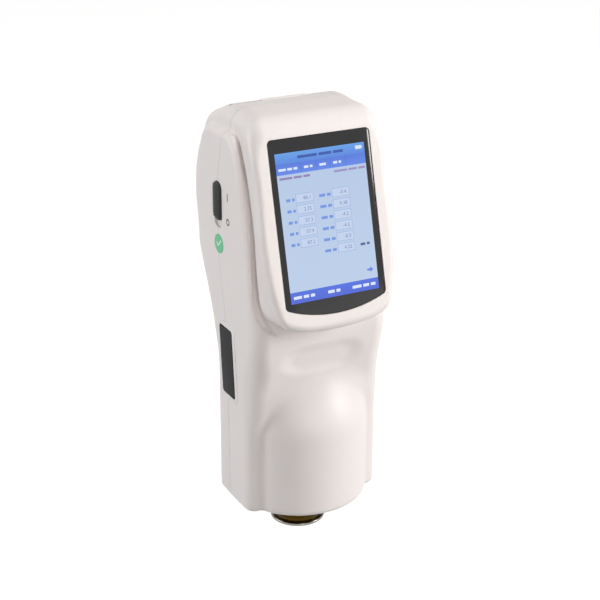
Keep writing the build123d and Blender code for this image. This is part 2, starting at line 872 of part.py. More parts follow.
lens_z = crown_top + lens_seat
lens_bend = (lens_crown ** 2 + lens_rise ** 2) / (2 * lens_rise)
with BuildPart() as collector_lens:
    with BuildSketch(Plane.XZ):
        with Locations((0, lens_z + lens_rise - lens_bend)):
            Circle(lens_bend)
        with Locations((0, lens_z)):
            Rectangle(2 * lens_bend, 2 * lens_bend, align=(Align.CENTER, Align.MAX),
                      mode=Mode.SUBTRACT)
            Rectangle(2 * barrel_bore, lens_edge, align=(Align.CENTER, Align.MAX))
            Rectangle(2 * barrel_bore, 4 * lens_bend, align=(Align.MAX, Align.CENTER),
                      mode=Mode.SUBTRACT)
    revolve(axis=Axis.Z)
collector_lens.part.label = "collector_lens"
export_step(collector_lens.part, "parts/collector_lens.step")


# Spectrometer
cell_middle = (cell_left + cell_right) / 2
cell_length = cell_right - cell_left
with BuildPart() as spectrometer_housing:
    with BuildSketch(Plane.XY.offset(cell_low)):
        with Locations((cell_middle, 0)):
            Rectangle(cell_length, cell_depth)
        Circle(slit_window, mode=Mode.SUBTRACT)
    extrude(amount=cell_height)
    with BuildSketch(Plane.XY.offset(cell_floor)):
        with Locations((cell_middle, 0)):
            Rectangle(cell_length - 2 * cell_wall, cell_depth - 2 * cell_wall)
    extrude(amount=cell_height, mode=Mode.SUBTRACT)
    with BuildSketch(Plane.XZ.offset(cell_wall - cell_back)):
        with Locations(*cell_sites):
            Circle(board_boss)
    extrude(amount=cell_boss)
    with BuildSketch(Plane.XZ.offset(-cell_back)):
        with Locations(*cell_sites):
            Circle(board_shank)
    extrude(amount=board_bite - chassis_thick, mode=Mode.SUBTRACT)
spectrometer_housing.part.label = "spectrometer_housing"
export_step(spectrometer_housing.part, "parts/spectrometer_housing.step")

with BuildPart() as spectrometer_lid:
    with BuildSketch(Plane.XY.offset(cell_high)):
        with Locations((cell_middle, 0)):
            Rectangle(cell_length, cell_depth)
    extrude(amount=cell_lid)
    with BuildSketch(Plane.XY.offset(cell_high)):
        with Locations((cell_middle, 0)):
            Rectangle(cell_length - 2 * cell_wall - 2 * lid_gap,
                      cell_depth - 2 * cell_wall - 2 * lid_gap)
    extrude(amount=-lid_lip)
spectrometer_lid.part.label = "spectrometer_lid"
export_step(spectrometer_lid.part, "parts/spectrometer_lid.step")

with BuildPart() as slit_plate:
    with BuildSketch(Plane.XY.offset(cell_floor)):
        Circle(slit_radius)
        Rectangle(slit_width, slit_length, mode=Mode.SUBTRACT)
    extrude(amount=slit_thick)
slit_plate.part.label = "slit_plate"
export_step(slit_plate.part, "parts/slit_plate.step")

with BuildPart() as mirror_block:
    with BuildSketch(Plane.XZ.offset(-mirror_width / 2)):
        with BuildLine():
            Polyline((-slit_radius - mirror_base - lid_gap, cell_floor),
                     (-slit_radius - lid_gap, cell_floor),
                     (-slit_radius - lid_gap, cell_floor + mirror_step),
                     (mirror_rise - mirror_step - slit_radius - lid_gap, cell_floor + mirror_rise),
                     (-slit_radius - mirror_base - lid_gap, cell_floor + mirror_rise), close=True)
        make_face()
    extrude(amount=mirror_width)
mirror_block.part.label = "mirror_block"
export_step(mirror_block.part, "parts/mirror_block.step")

with BuildPart() as grating:
    with BuildSketch(Plane.YZ.offset(cell_right - cell_wall)):
        with Locations((0, cell_floor)):
            Rectangle(grating_width, grating_height, align=(Align.CENTER, Align.MIN))
    extrude(amount=-grating_thick)
grating.part.label = "grating"
export_step(grating.part, "parts/grating.step")

sensor_face = cell_left + cell_wall + sensor_thick
with BuildPart() as sensor_board:
    with BuildSketch(Plane.YZ.offset(sensor_face)):
        with Locations((0, cell_floor)):
            Rectangle(sensor_width, sensor_height, align=(Align.CENTER, Align.MIN))
    extrude(amount=-sensor_thick)
sensor_board.part.label = "sensor_board"
export_step(sensor_board.part, "parts/sensor_board.step")

with BuildPart() as line_sensor:
    with BuildSketch(Plane.YZ.offset(sensor_face)):
        with Locations((0, cell_floor + sensor_height / 2)):
            Rectangle(sensor_chip_width, sensor_chip_height)
    extrude(amount=sensor_chip_thick)
line_sensor.part.label = "line_sensor"
export_step(line_sensor.part, "parts/line_sensor.step")

with BuildPart() as optics_chassis:
    with BuildSketch(Plane.XZ.offset(-cell_back)):
        with Locations((0, cell_low)):
            Rectangle(2 * leg_outer, cell_height, align=(Align.CENTER, Align.MIN))
        with Locations(*cell_sites):
            Circle(board_shank, mode=Mode.SUBTRACT)
        with Locations((leg_outer, sphere_top)):
            Rectangle(leg_outer - leg_inner, cell_low - sphere_top, align=(Align.MAX, Align.MIN))
        with Locations((-leg_outer, sphere_top)):
            Rectangle(leg_outer - leg_inner, cell_low - sphere_top, align=Align.MIN)
    extrude(amount=-chassis_thick)
    with BuildSketch(Plane.XY.offset(sphere_top)):
        with Locations((leg_outer, chassis_back)):
            Rectangle(leg_outer - leg_inner, leg_foot, align=Align.MAX)
        with Locations((-leg_outer, chassis_back)):
            Rectangle(leg_outer - leg_inner, leg_foot, align=(Align.MIN, Align.MAX))
        with Locations(*rear_flange_sites):
            Circle(board_shank, mode=Mode.SUBTRACT)
    extrude(amount=chassis_thick)
optics_chassis.part.label = "optics_chassis"
export_step(optics_chassis.part, "parts/optics_chassis.step")


# Electronics in the head
with BuildPart() as main_board:
    with BuildSketch(Plane.XZ.offset(-board_back)):
        with Locations((0, board_low)):
            Rectangle(board_width, board_high - board_low, align=(Align.CENTER, Align.MIN))
        with Locations(*board_sites):
            Circle(board_shank, mode=Mode.SUBTRACT)
    extrude(amount=board_thick)
main_board.part.label = "main_board"
export_step(main_board.part, "parts/main_board.step")

# Packages on the board's front face: X, height above its lower edge, width, height, thickness
packages = [
    (0, connector_z - board_low, ribbon_width + 2, connector_height, connector_thick),
    (2, 37, 14, 14, 1.4),
    (-14, 41, 8, 10, 1.0),
    (14, 57, 12, 9, 2.4),
    (-12, 61, 9, 9, 3.0),
    (15, 21, 7, 5, 1.2),
    (19, 39, 4, 7, 1.6),
]
with BuildPart() as board_components:
    for across, height, width, tall, thick in packages:
        with BuildSketch(Plane.XZ.offset(-board_face)):
            with Locations((across, board_low + height)):
                Rectangle(width, tall)
        extrude(amount=thick)
board_components.part.label = "board_components"
export_step(board_components.part, "parts/board_components.step")

with BuildPart() as buzzer:
    with BuildSketch(Plane.XZ.offset(-board_face)):
        with Locations((buzzer_x, board_low + buzzer_lift)):
            Circle(buzzer_radius)
    extrude(amount=buzzer_thick)
    with BuildSketch(Plane.XZ.offset(buzzer_thick - board_face)):
        with Locations((buzzer_x, board_low + buzzer_lift)):
            Circle(buzzer_hole)
    extrude(amount=-buzzer_thick / 2, mode=Mode.SUBTRACT)
buzzer.part.label = "buzzer"
export_step(buzzer.part, "parts/buzzer.step")

bay_middle = (bay_low + bay_high) / 2
with BuildPart() as battery_tray:
    with BuildSketch(Plane.XZ.offset(-bay_front)):
        with Locations((0, board_low)):
            Rectangle(body_width, bay_high - board_low, align=(Align.CENTER, Align.MIN))
    extrude(amount=-bay_wall)
    with BuildSketch(Plane.XZ.offset(-bay_back)):
        with Locations((0, bay_middle)):
            Rectangle(bay_width, bay_high - bay_low)
            Rectangle(bay_width - 2 * bay_wall, bay_high - bay_low - 2 * bay_wall,
                      mode=Mode.SUBTRACT)
    extrude(amount=-head_back)
    with BuildSketch(Plane.XZ.offset(-board_back)):
        with Locations(*board_sites):
            Circle(board_boss)
    extrude(amount=-board_stand)
    with BuildSketch(Plane.XZ.offset(-board_back)):
        with Locations(*board_sites):
            Circle(board_shank)
    extrude(amount=board_thick - board_bite, mode=Mode.SUBTRACT)
    with BuildSketch(Plane.XZ.offset(-bay_front)):
        with Locations(*bay_sites):
            Circle(board_shank)
    extrude(amount=-bay_wall, mode=Mode.SUBTRACT)
    add(casing_form(wall + bay_gap), mode=Mode.INTERSECT)
battery_tray.part.label = "battery_tray"
export_step(battery_tray.part, "parts/battery_tray.step")

# The same screw in five places, as (plane under the head, centres, side of the head)
fixings = [
    (Plane.XZ.offset(-board_face), board_sites, 1),
    (Plane.XZ.offset(-bay_front), bay_sites, 1),
    (Plane.XZ.offset(-chassis_back), cell_sites, -1),
    (Plane.XY.offset(sphere_top), front_flange_sites, 1),
    (Plane.XY.offset(sphere_top + chassis_thick), rear_flange_sites, 1),
]
with BuildPart() as board_screws:
    for seat, sites, way in fixings:
        with BuildSketch(seat):
            with Locations(*sites):
                Circle(board_head)
        extrude(amount=way * board_head_thick)
        with BuildSketch(seat):
            with Locations(*sites):
                Circle(board_shank)
        extrude(amount=-way * board_bite)
        with BuildSketch(seat.offset(way * board_head_thick)):
            with Locations(*sites):
                Rectangle(drive_width, 1.4 * board_head)
                Rectangle(1.4 * board_head, drive_width)
        extrude(amount=-way * drive_depth, mode=Mode.SUBTRACT)
board_screws.part.label = "board_screws"
export_step(board_screws.part, "parts/board_screws.step")

# The smallest screws: under the display, and behind the measure button
fixings = [
    (screen.offset(module_back - bracket_thick), bracket_sites),
    (Plane.YZ.offset(tact_back - button_board_thick), button_sites),
]
with BuildPart() as small_screws:
    for seat, sites in fixings:
        with BuildSketch(seat):
            with Locations(*sites):
                Circle(small_head)
        extrude(amount=-small_head_thick)
        with BuildSketch(seat):
            with Locations(*sites):
                Circle(small_shank)
        extrude(amount=small_bite)
small_screws.part.label = "small_screws"
export_step(small_screws.part, "parts/small_screws.step")

with BuildPart() as battery_contacts:
    with BuildSketch(Plane.XY.offset(bay_floor)):
        with Locations((0, bay_back + battery_gap + battery_thick / 2)):
            with GridLocations(contact_pitch, 1, 3, 1):
                Rectangle(contact_width, contact_length)
    extrude(amount=contact_thick)
    with BuildSketch(Plane.XY.offset(bay_floor)):
        with Locations((0, bay_back + battery_gap + battery_thick / 2)):
            with GridLocations(contact_pitch, 1, 3, 1):
                Rectangle(contact_width, contact_width)
    extrude(amount=contact_rise)
battery_contacts.part.label = "battery_contacts"
export_step(battery_contacts.part, "parts/battery_contacts.step")

with BuildPart() as battery_pack:
    with BuildSketch(Plane.XZ.offset(-bay_back - battery_gap)):
        with Locations((0, contact_top)):
            Rectangle(battery_width, battery_height, align=(Align.CENTER, Align.MIN))
    extrude(amount=-battery_thick)
    fillet(battery_pack.edges().filter_by(Axis.Z), battery_round)
battery_pack.part.label = "battery_pack"
export_step(battery_pack.part, "parts/battery_pack.step")

# Finger tab on the upper edge of the battery door
with BuildPart() as door_tab:
    with BuildSketch(Plane.XY.offset(shoulder_height)):
        with Locations((0, door_front)):
            Rectangle(door_tab_width, door_tab_length, align=(Align.CENTER, Align.MIN))
    extrude(amount=body_width)
    add(casing_form(-door_tab_lift), mode=Mode.INTERSECT)
    add(inner, mode=Mode.SUBTRACT)

with BuildPart() as battery_door:
    add(outer)
    add(inner, mode=Mode.SUBTRACT)
    add(door_region(), mode=Mode.INTERSECT)
    add(door_tab.part)
battery_door.part.label = "battery_door"
export_step(battery_door.part, "parts/battery_door.step")


# Power slider, in the left wall
with BuildPart() as power_slider:
    with BuildSketch(Plane.YZ.offset(-half - slider_proud)):
        with Locations((slider_y, slider_centre)):
            RectangleRounded(slider_width, slider_length, slider_round)
    extrude(amount=slider_proud + slider_recess - slider_gap)
    with BuildSketch(Plane.YZ.offset(-half)):
        with Locations((slider_y, slider_centre)):
            Rectangle(slider_stem_width, slider_stem_length)
    extrude(amount=wall + slider_stem_reach)
    with BuildSketch(Plane.YZ.offset(-half - slider_proud)):
        with Locations((slider_y, slider_centre)):
            with GridLocations(1, slider_groove_pitch, 1, 5):
                Rectangle(slider_width, slider_groove)
    extrude(amount=slider_groove, mode=Mode.SUBTRACT)
power_slider.part.label = "power_slider"
export_step(power_slider.part, "parts/power_slider.step")

with BuildPart() as slide_switch:
    with BuildSketch(Plane.YZ.offset(-inside_wall)):
        with Locations((slider_y, slot_centre)):
            Rectangle(switch_width, switch_length)
    extrude(amount=switch_depth)
    with BuildSketch(Plane.YZ.offset(-inside_wall)):
        with Locations((slider_y, slot_centre)):
            Rectangle(slider_stem_width + 2 * slider_gap,
                      slider_stem_length + slider_travel + 2 * slider_gap)
    extrude(amount=slider_stem_reach + slider_gap, mode=Mode.SUBTRACT)
slide_switch.part.label = "slide_switch"
export_step(slide_switch.part, "parts/slide_switch.step")


# Measure button, in the right wall
with BuildPart() as measure_button:
    with BuildSketch(Plane.YZ.offset(rim_face)):
        with Locations((button_y, button_z)):
            SlotOverall(button_length + 2 * button_rim, button_width + 2 * button_rim, rotation=90)
    extrude(amount=-button_rim_thick)
    with BuildSketch(Plane.YZ.offset(rim_face)):
        with Locations((button_y, button_z)):
            SlotOverall(button_length, button_width, rotation=90)
    extrude(amount=half + button_proud - rim_face)
    fillet(measure_button.edges().group_by(Axis.X)[-1], button_crown)
measure_button.part.label = "measure_button"
export_step(measure_button.part, "parts/measure_button.step")

with BuildPart() as switch_plunger:
    with BuildSketch(Plane.YZ.offset(plunger_start)):
        with Locations((button_y, button_z)):
            Circle(tact_stem)
    extrude(amount=tact_face - tact_stem_reach - plunger_start)
switch_plunger.part.label = "switch_plunger"
export_step(switch_plunger.part, "parts/switch_plunger.step")

with BuildPart() as measure_switch:
    with BuildSketch(Plane.YZ.offset(tact_face)):
        with Locations((button_y, button_z)):
            Rectangle(tact_size, tact_size)
    extrude(amount=-tact_thick)
    with BuildSketch(Plane.YZ.offset(tact_face)):
        with Locations((button_y, button_z)):
            Circle(tact_stem + tact_gap)
    extrude(amount=-tact_stem_reach - button_travel - tact_clear, mode=Mode.SUBTRACT)
measure_switch.part.label = "measure_switch"
export_step(measure_switch.part, "parts/measure_switch.step")

with BuildPart() as button_board:
    with BuildSketch(Plane.YZ.offset(tact_back)):
        with Locations((button_y, button_z)):
            Rectangle(button_board_width, button_board_length)
        with Locations(*button_sites):
            Circle(small_shank, mode=Mode.SUBTRACT)
    extrude(amount=-button_board_thick)
button_board.part.label = "button_board"
export_step(button_board.part, "parts/button_board.step")


# Interface port, in the left wall: a frame with sockets in its floor, under a rubber cover
jack_y = io_board_y - jack_size / 2
usb_y = io_board_y - usb_thick / 2
with BuildPart() as port_frame:
    with BuildSketch(Plane.YZ.offset(-inside_wall)):
        add(hatch_face(hatch_margin + hatch_rim))
    extrude(amount=pocket_floor + inside_wall)
    add(inner, mode=Mode.INTERSECT)
    with BuildSketch(Plane.YZ.offset(-half - hatch_frame_proud)):
        add(hatch_face(hatch_margin))
    extrude(amount=pocket_back + half + hatch_frame_proud)
    with BuildSketch(Plane.YZ.offset(-half - hatch_frame_proud)):
        add(hatch_face(hatch_gap))
    extrude(amount=hatch_pocket + hatch_frame_proud, mode=Mode.SUBTRACT)
    with BuildSketch(Plane.YZ.offset(pocket_floor)):
        with Locations((usb_y, usb_z)):
            Rectangle(usb_thick + 2 * socket_gap, usb_width + 2 * socket_gap)
        with Locations((jack_y, jack_z)):
            Rectangle(jack_size + 2 * socket_gap, jack_size + 2 * socket_gap)
    extrude(amount=hatch_floor, mode=Mode.SUBTRACT)
port_frame.part.label = "port_frame"
export_step(port_frame.part, "parts/port_frame.step")

with BuildPart() as port_cover:
    with BuildSketch(Plane.YZ.offset(-half - hatch_proud)):
        add(hatch_face())
    extrude(amount=hatch_thick)
port_cover.part.label = "port_cover"
export_step(port_cover.part, "parts/port_cover.step")

with BuildPart() as interface_board:
    with BuildSketch(Plane.XZ.offset(-io_board_y)):
        with Locations((pocket_back, jack_z - jack_size / 2 - io_board_margin)):
            Rectangle(io_board_width,
                      usb_z - jack_z + (usb_width + jack_size) / 2 + 2 * io_board_margin,
                      align=Align.MIN)
    extrude(amount=-io_board_thick)
interface_board.part.label = "interface_board"
export_step(interface_board.part, "parts/interface_board.step")

with BuildPart() as usb_socket:
    with BuildSketch(Plane.YZ.offset(pocket_floor - socket_lift)):
        with Locations((usb_y, usb_z)):
            Rectangle(usb_thick, usb_width)
    extrude(amount=usb_depth)
    with BuildSketch(Plane.YZ.offset(pocket_floor - socket_lift)):
        with Locations((usb_y, usb_z)):
            Rectangle(usb_thick - 2 * usb_wall, usb_width - 2 * usb_wall)
            Rectangle(usb_tongue, usb_width - 4 * usb_wall, mode=Mode.SUBTRACT)
    extrude(amount=usb_depth - socket_lift, mode=Mode.SUBTRACT)
usb_socket.part.label = "usb_socket"
export_step(usb_socket.part, "parts/usb_socket.step")

with BuildPart() as power_jack:
    with BuildSketch(Plane.YZ.offset(pocket_floor - socket_lift)):
        with Locations((jack_y, jack_z)):
            Rectangle(jack_size, jack_size)
    extrude(amount=jack_depth)
    with BuildSketch(Plane.YZ.offset(pocket_floor - socket_lift)):
        with Locations((jack_y, jack_z)):
            Circle(jack_radius)
            Circle(jack_pin, mode=Mode.SUBTRACT)
    extrude(amount=jack_depth - socket_lift, mode=Mode.SUBTRACT)
power_jack.part.label = "power_jack"
export_step(power_jack.part, "parts/power_jack.step")

with BuildPart() as seal_sticker:
    with BuildSketch(Plane.YZ.offset(-half)):
        with Locations((sticker_y, sticker_z)):
            Circle(sticker_radius)
    extrude(amount=-sticker_thick)
seal_sticker.part.label = "seal_sticker"
export_step(seal_sticker.part, "parts/seal_sticker.step")
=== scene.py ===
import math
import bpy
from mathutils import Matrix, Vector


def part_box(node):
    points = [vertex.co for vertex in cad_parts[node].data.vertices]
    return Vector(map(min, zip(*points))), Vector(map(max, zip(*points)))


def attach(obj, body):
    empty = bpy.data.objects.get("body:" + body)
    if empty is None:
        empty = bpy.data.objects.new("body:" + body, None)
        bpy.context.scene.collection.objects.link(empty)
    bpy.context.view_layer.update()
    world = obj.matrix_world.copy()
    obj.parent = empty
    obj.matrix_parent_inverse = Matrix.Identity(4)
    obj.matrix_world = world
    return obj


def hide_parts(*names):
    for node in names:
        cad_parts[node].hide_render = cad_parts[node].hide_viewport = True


bl_info = {
    "name": "Portable Colour Meter",
    "version": (1, 0, 0),
    "blender": (4, 5, 0),
    "location": "View3D > Sidebar > Colour Meter",
    "description": "Dresses the solid model of a hand-held colour meter for rendering",
    "category": "Object",
}

from types import SimpleNamespace

import bmesh
import bpy
import numpy as np
from bpy.props import FloatProperty, FloatVectorProperty, PointerProperty
from mathutils import Matrix, Vector

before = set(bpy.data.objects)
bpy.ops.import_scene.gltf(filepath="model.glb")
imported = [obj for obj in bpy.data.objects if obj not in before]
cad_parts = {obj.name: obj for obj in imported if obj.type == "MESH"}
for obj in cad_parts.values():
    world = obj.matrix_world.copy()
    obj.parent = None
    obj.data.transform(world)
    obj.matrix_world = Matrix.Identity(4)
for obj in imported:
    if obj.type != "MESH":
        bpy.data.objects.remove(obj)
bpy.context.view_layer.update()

# Lengths in this file are in millimetres until a mesh is written, and MM turns them to metres.
MM = 0.001
MICROMETRE = 1e-6

# Places that are the same in the solid model
HALF = 38.5                      # side walls
WALL = 2.4
TILT = math.radians(14.5)        # lean of the screen
SCREEN = np.array([0.0, -30.94, 177.85])
BEZEL = 0.8                      # bezel in front of the lit area
NECK_FRONT = -27.5
DOME_RADIUS = 36.7
DOME_SHOULDER = 61.0
GLASS_FRONT = 0.3                # front of the cover glass, out of the lit area
GLASS_GAP = 0.15                 # round the cover glass
SCREWS = [(x, z) for x in (-29.5, 29.5) for z in (27.5, 121.5)]
SCREW_HEAD_HEIGHT = 1.8

# Places where the smooth casing departs a little from the solid model's plainer one
SPINE_HALF = 34.0                # raised centre with the screen, where it leaves the trunk: 1.5 narrower
BASE = 18.2                      # underside of the casing: 0.7 higher

# Places on the side walls, as (y, z)
SLIDER_Y, SLIDER_Z = 13, 180.15  # recess of the power slider, left
BUTTON_Y, BUTTON_Z = -3, 146     # measuring button, right
HATCH_Y, HATCH_Z = 4.4, 97.3     # socket cover, left

CLEAR = 3                        # a cutter starts this far outside the wall that it opens
THROUGH = 6                      # and goes this deep to come out inside
OVERRUN = 8                      # outlines and cutters run on this far past the underside
ARC_STEP = 3.0                   # degrees between the points of a rounded corner
SOFT_ANGLE = 35                  # degrees over which an edge is drawn sharp

# The frame of the screen: across, up its slope, and out of it
ACROSS = np.array([1.0, 0.0, 0.0])
UP = np.array([0.0, math.sin(TILT), math.cos(TILT)])
OUT = np.array([0.0, -math.cos(TILT), math.sin(TILT)])


def linear(hex_colour):
    """An sRGB hex colour as linear RGBA."""
    parts = [int(hex_colour[i:i + 2], 16) / 255 for i in (1, 3, 5)]
    return tuple(c / 12.92 if c <= 0.04045 else ((c + 0.055) / 1.055) ** 2.4 for c in parts) + (1.0,)


def on_screen(across, up, out=0.0):
    """A point given across, up the slope and out of the lit area, in the model's frame."""
    return SCREEN + across * ACROSS + up * UP + out * OUT


# ---------------------------------------------------------------- smooth forms

def corner_arc(before, point, after, radius):
    """Points of the arc that rounds one corner of an outline. It takes up less than half of each side."""
    p, a, b = (np.array(q, float) for q in (point, before, after))
    u = (a - p) / np.linalg.norm(a - p)
    v = (b - p) / np.linalg.norm(b - p)
    turn = math.pi - math.acos(max(-1.0, min(1.0, float(u @ v))))
    if radius <= 0 or turn < 1e-3:
        return [p]
    reach = min(radius * math.tan(turn / 2), 0.49 * np.linalg.norm(a - p), 0.49 * np.linalg.norm(b - p))
    radius = reach / math.tan(turn / 2)
    centre = p + (u + v) / np.linalg.norm(u + v) * radius / math.cos(turn / 2)
    start, end = p + reach * u, p + reach * v
    count = max(2, int(math.degrees(turn) / ARC_STEP))
    first = math.atan2(*(start - centre)[::-1])
    last = math.atan2(*(end - centre)[::-1])
    sweep = (last - first + math.pi) % (2 * math.pi) - math.pi
    angles = [first + sweep * i / count for i in range(count + 1)]
    return [centre + radius * np.array([math.cos(a), math.sin(a)]) for a in angles]


def rounded(outline):
    """A closed outline of (y, z, corner radius) as a dense list of points."""
    points = []
    for i, (y, z, r) in enumerate(outline):
        points += corner_arc(outline[i - 1][:2], (y, z), outline[(i + 1) % len(outline)][:2], r)
    return np.array(points)


def outline_distance(points, y, z):
    """Signed distance in the plane to a closed outline, negative inside."""
    best = np.full(y.shape, 1e9)
    inside = np.zeros(y.shape, bool)
    for (ay, az), (by, bz) in zip(points, np.roll(points, -1, axis=0)):
        dy, dz = by - ay, bz - az
        if dy == 0 and dz == 0:
            continue
        t = np.clip(((y - ay) * dy + (z - az) * dz) / (dy * dy + dz * dz), 0, 1)
        best = np.minimum(best, (y - ay - t * dy) ** 2 + (z - az - t * dz) ** 2)
        if az != bz:
            inside ^= ((az > z) != (bz > z)) & (y < dy * (z - az) / dz + ay)
    return np.where(inside, -1.0, 1.0) * np.sqrt(best)


class SideField:
    """The distance to an outline, kept on a fine grid in the YZ plane and read back smoothly."""

    step = 0.75
    low = np.array([-60.0, 0.0])
    size = (170, 335)

    def __init__(self, outline):
        y = self.low[0] + self.step * np.arange(self.size[0])
        z = self.low[1] + self.step * np.arange(self.size[1])
        grid = np.meshgrid(y, z, indexing="ij")
        self.values = outline_distance(rounded(outline), *grid)

    def __call__(self, y, z):
        u = (y - self.low[0]) / self.step
        v = (z - self.low[1]) / self.step
        i = np.clip(np.floor(u).astype(int), 1, self.size[0] - 3)
        j = np.clip(np.floor(v).astype(int), 1, self.size[1] - 3)
        a, b = np.clip(u - i, 0, 1), np.clip(v - j, 0, 1)

        def weights(t):
            # Uniform cubic B-spline: smooth to the second derivative, so highlights run clean
            return ((1 - t) ** 3 / 6, (3 * t ** 3 - 6 * t ** 2 + 4) / 6,
                    (-3 * t ** 3 + 3 * t ** 2 + 3 * t + 1) / 6, t ** 3 / 6)

        total = 0.0
        for m, wa in enumerate(weights(a)):
            for n, wb in enumerate(weights(b)):
                total = total + wa * wb * self.values[i + m - 1, j + n - 1]
        return total


def both(a, b, radius):
    """The overlap of two forms, its edge rounded to a radius."""
    outer = np.hypot(np.maximum(a + radius, 0), np.maximum(b + radius, 0))
    return np.minimum(np.maximum(a + radius, b + radius), 0) + outer - radius


def joined(a, b, soft):
    """Two forms grown into one, with a soft hollow of about that width where they meet."""
    h = np.maximum(soft - np.abs(a - b), 0) / soft
    return np.minimum(a, b) - h * h * soft / 4


def ramp(value, start, end):
    """A smooth step from 0 to 1. It runs backwards where end is the lower."""
    t = np.clip((value - start) / (end - start), 0, 1)
    return t * t * (3 - 2 * t)


# The trunk, by height: where the flat side walls end at the front, and the radius of the corner there
EDGE_Z = [0, 30, 48, 66, 81, 90, 100, 107, 115, 122, 130, 137, 146, 157, 166, 173, 181, 192, 203, 214, 240]
EDGE_Y = [-12.4, -12.6, -12.5, -12.5, -12.8, -13.3, -14.9, -17.6, -19.2, -20.0, -19.6, -19.2, -18.0, -16.0,
          -13.6, -11.8, -10.2, -8.2, -6.0, -1.4, 2.0]
EDGE_R = [7.0, 7.0, 7.0, 7.5, 9.0, 10.0, 11.0, 9.6, 9.0, 8.6, 5.6, 3.8, 3.3, 3.3, 4.8, 6.2, 6.0, 5.0, 3.6,
          3.0, 3.0]

# The raised centre, by height: half its width along the front, where it flares out over the wings
FLARE_Z = [118, 126, 130, 136, 143, 150, 160, 172, 182, 191, 200, 216, 232]
FLARE_X = [27.6, 29.6, 30.6, 31.9, 33.6, 35.0, 35.9, 36.5, 36.2, 35.8, 35.7, 36.4, 36.4]

# The crease between the raised centre and each wing, by height. It turns in under the chin
CREASE_Z = [116, 121, 126, 130, 134, 140, 146, 157, 170, 181, 192, 203, 214, 222]
CREASE_X = [20.0, 26.0, 31.0, 33.2, 34.0, 34.2, 34.2, 34.2, 34.2, 34.2, 34.2, 34.2, 34.2, 34.2]
CREASE_Y = [-29.6, -28.6, -26.6, -24.6, -23.2, -21.6, -20.4, -18.6, -17.6, -15.4, -12.4, -8.6, -3.4, 1.0]
CREASE_R = [0.0, 0.0, 1.7, 2.2, 2.2, 2.0, 1.7, 1.4, 1.3, 1.2, 1.2, 1.1, 0.9, 0.0]


def trunk_outline():
    """Side view of the grip and of the two wings beside the screen, as (y, z, corner radius)."""
    front = [(np.interp(z, EDGE_Z, EDGE_Y) - np.interp(z, EDGE_Z, EDGE_R), z, 40)
             for z in [BASE - OVERRUN] + EDGE_Z[1:-2]]
    return front + [(-4.6, 213.5, 6), (1.0, 219.0, 7), (30.0, 218.5, 12), (38.0, 204, 22), (43.4, 191, 24),
                    (46.4, 177, 14), (46.4, 149.5, 9), (31.5, 118, 60), (24.3, 95, 40),
                    (24.3, BASE - OVERRUN, 0)]


def bezel_y(height):
    """How far forward the face of the screen panel is at a height."""
    return SCREEN[1] - BEZEL / math.cos(TILT) - (SCREEN[2] - height) * math.tan(TILT)


def spine_outline():
    """Side view of the raised centre, which carries the screen and runs over the head."""
    return [(NECK_FRONT + 8, 116.5, 0), (bezel_y(124.5), 124.5, 7.5), (bezel_y(229.3), 229.3, 12),
            (4.0, 231.2, 60), (18.0, 229.4, 12), (37.0, 221.5, 12), (46.2, 200, 20), (43.0, 172, 0),
            (15.0, 150, 0)]


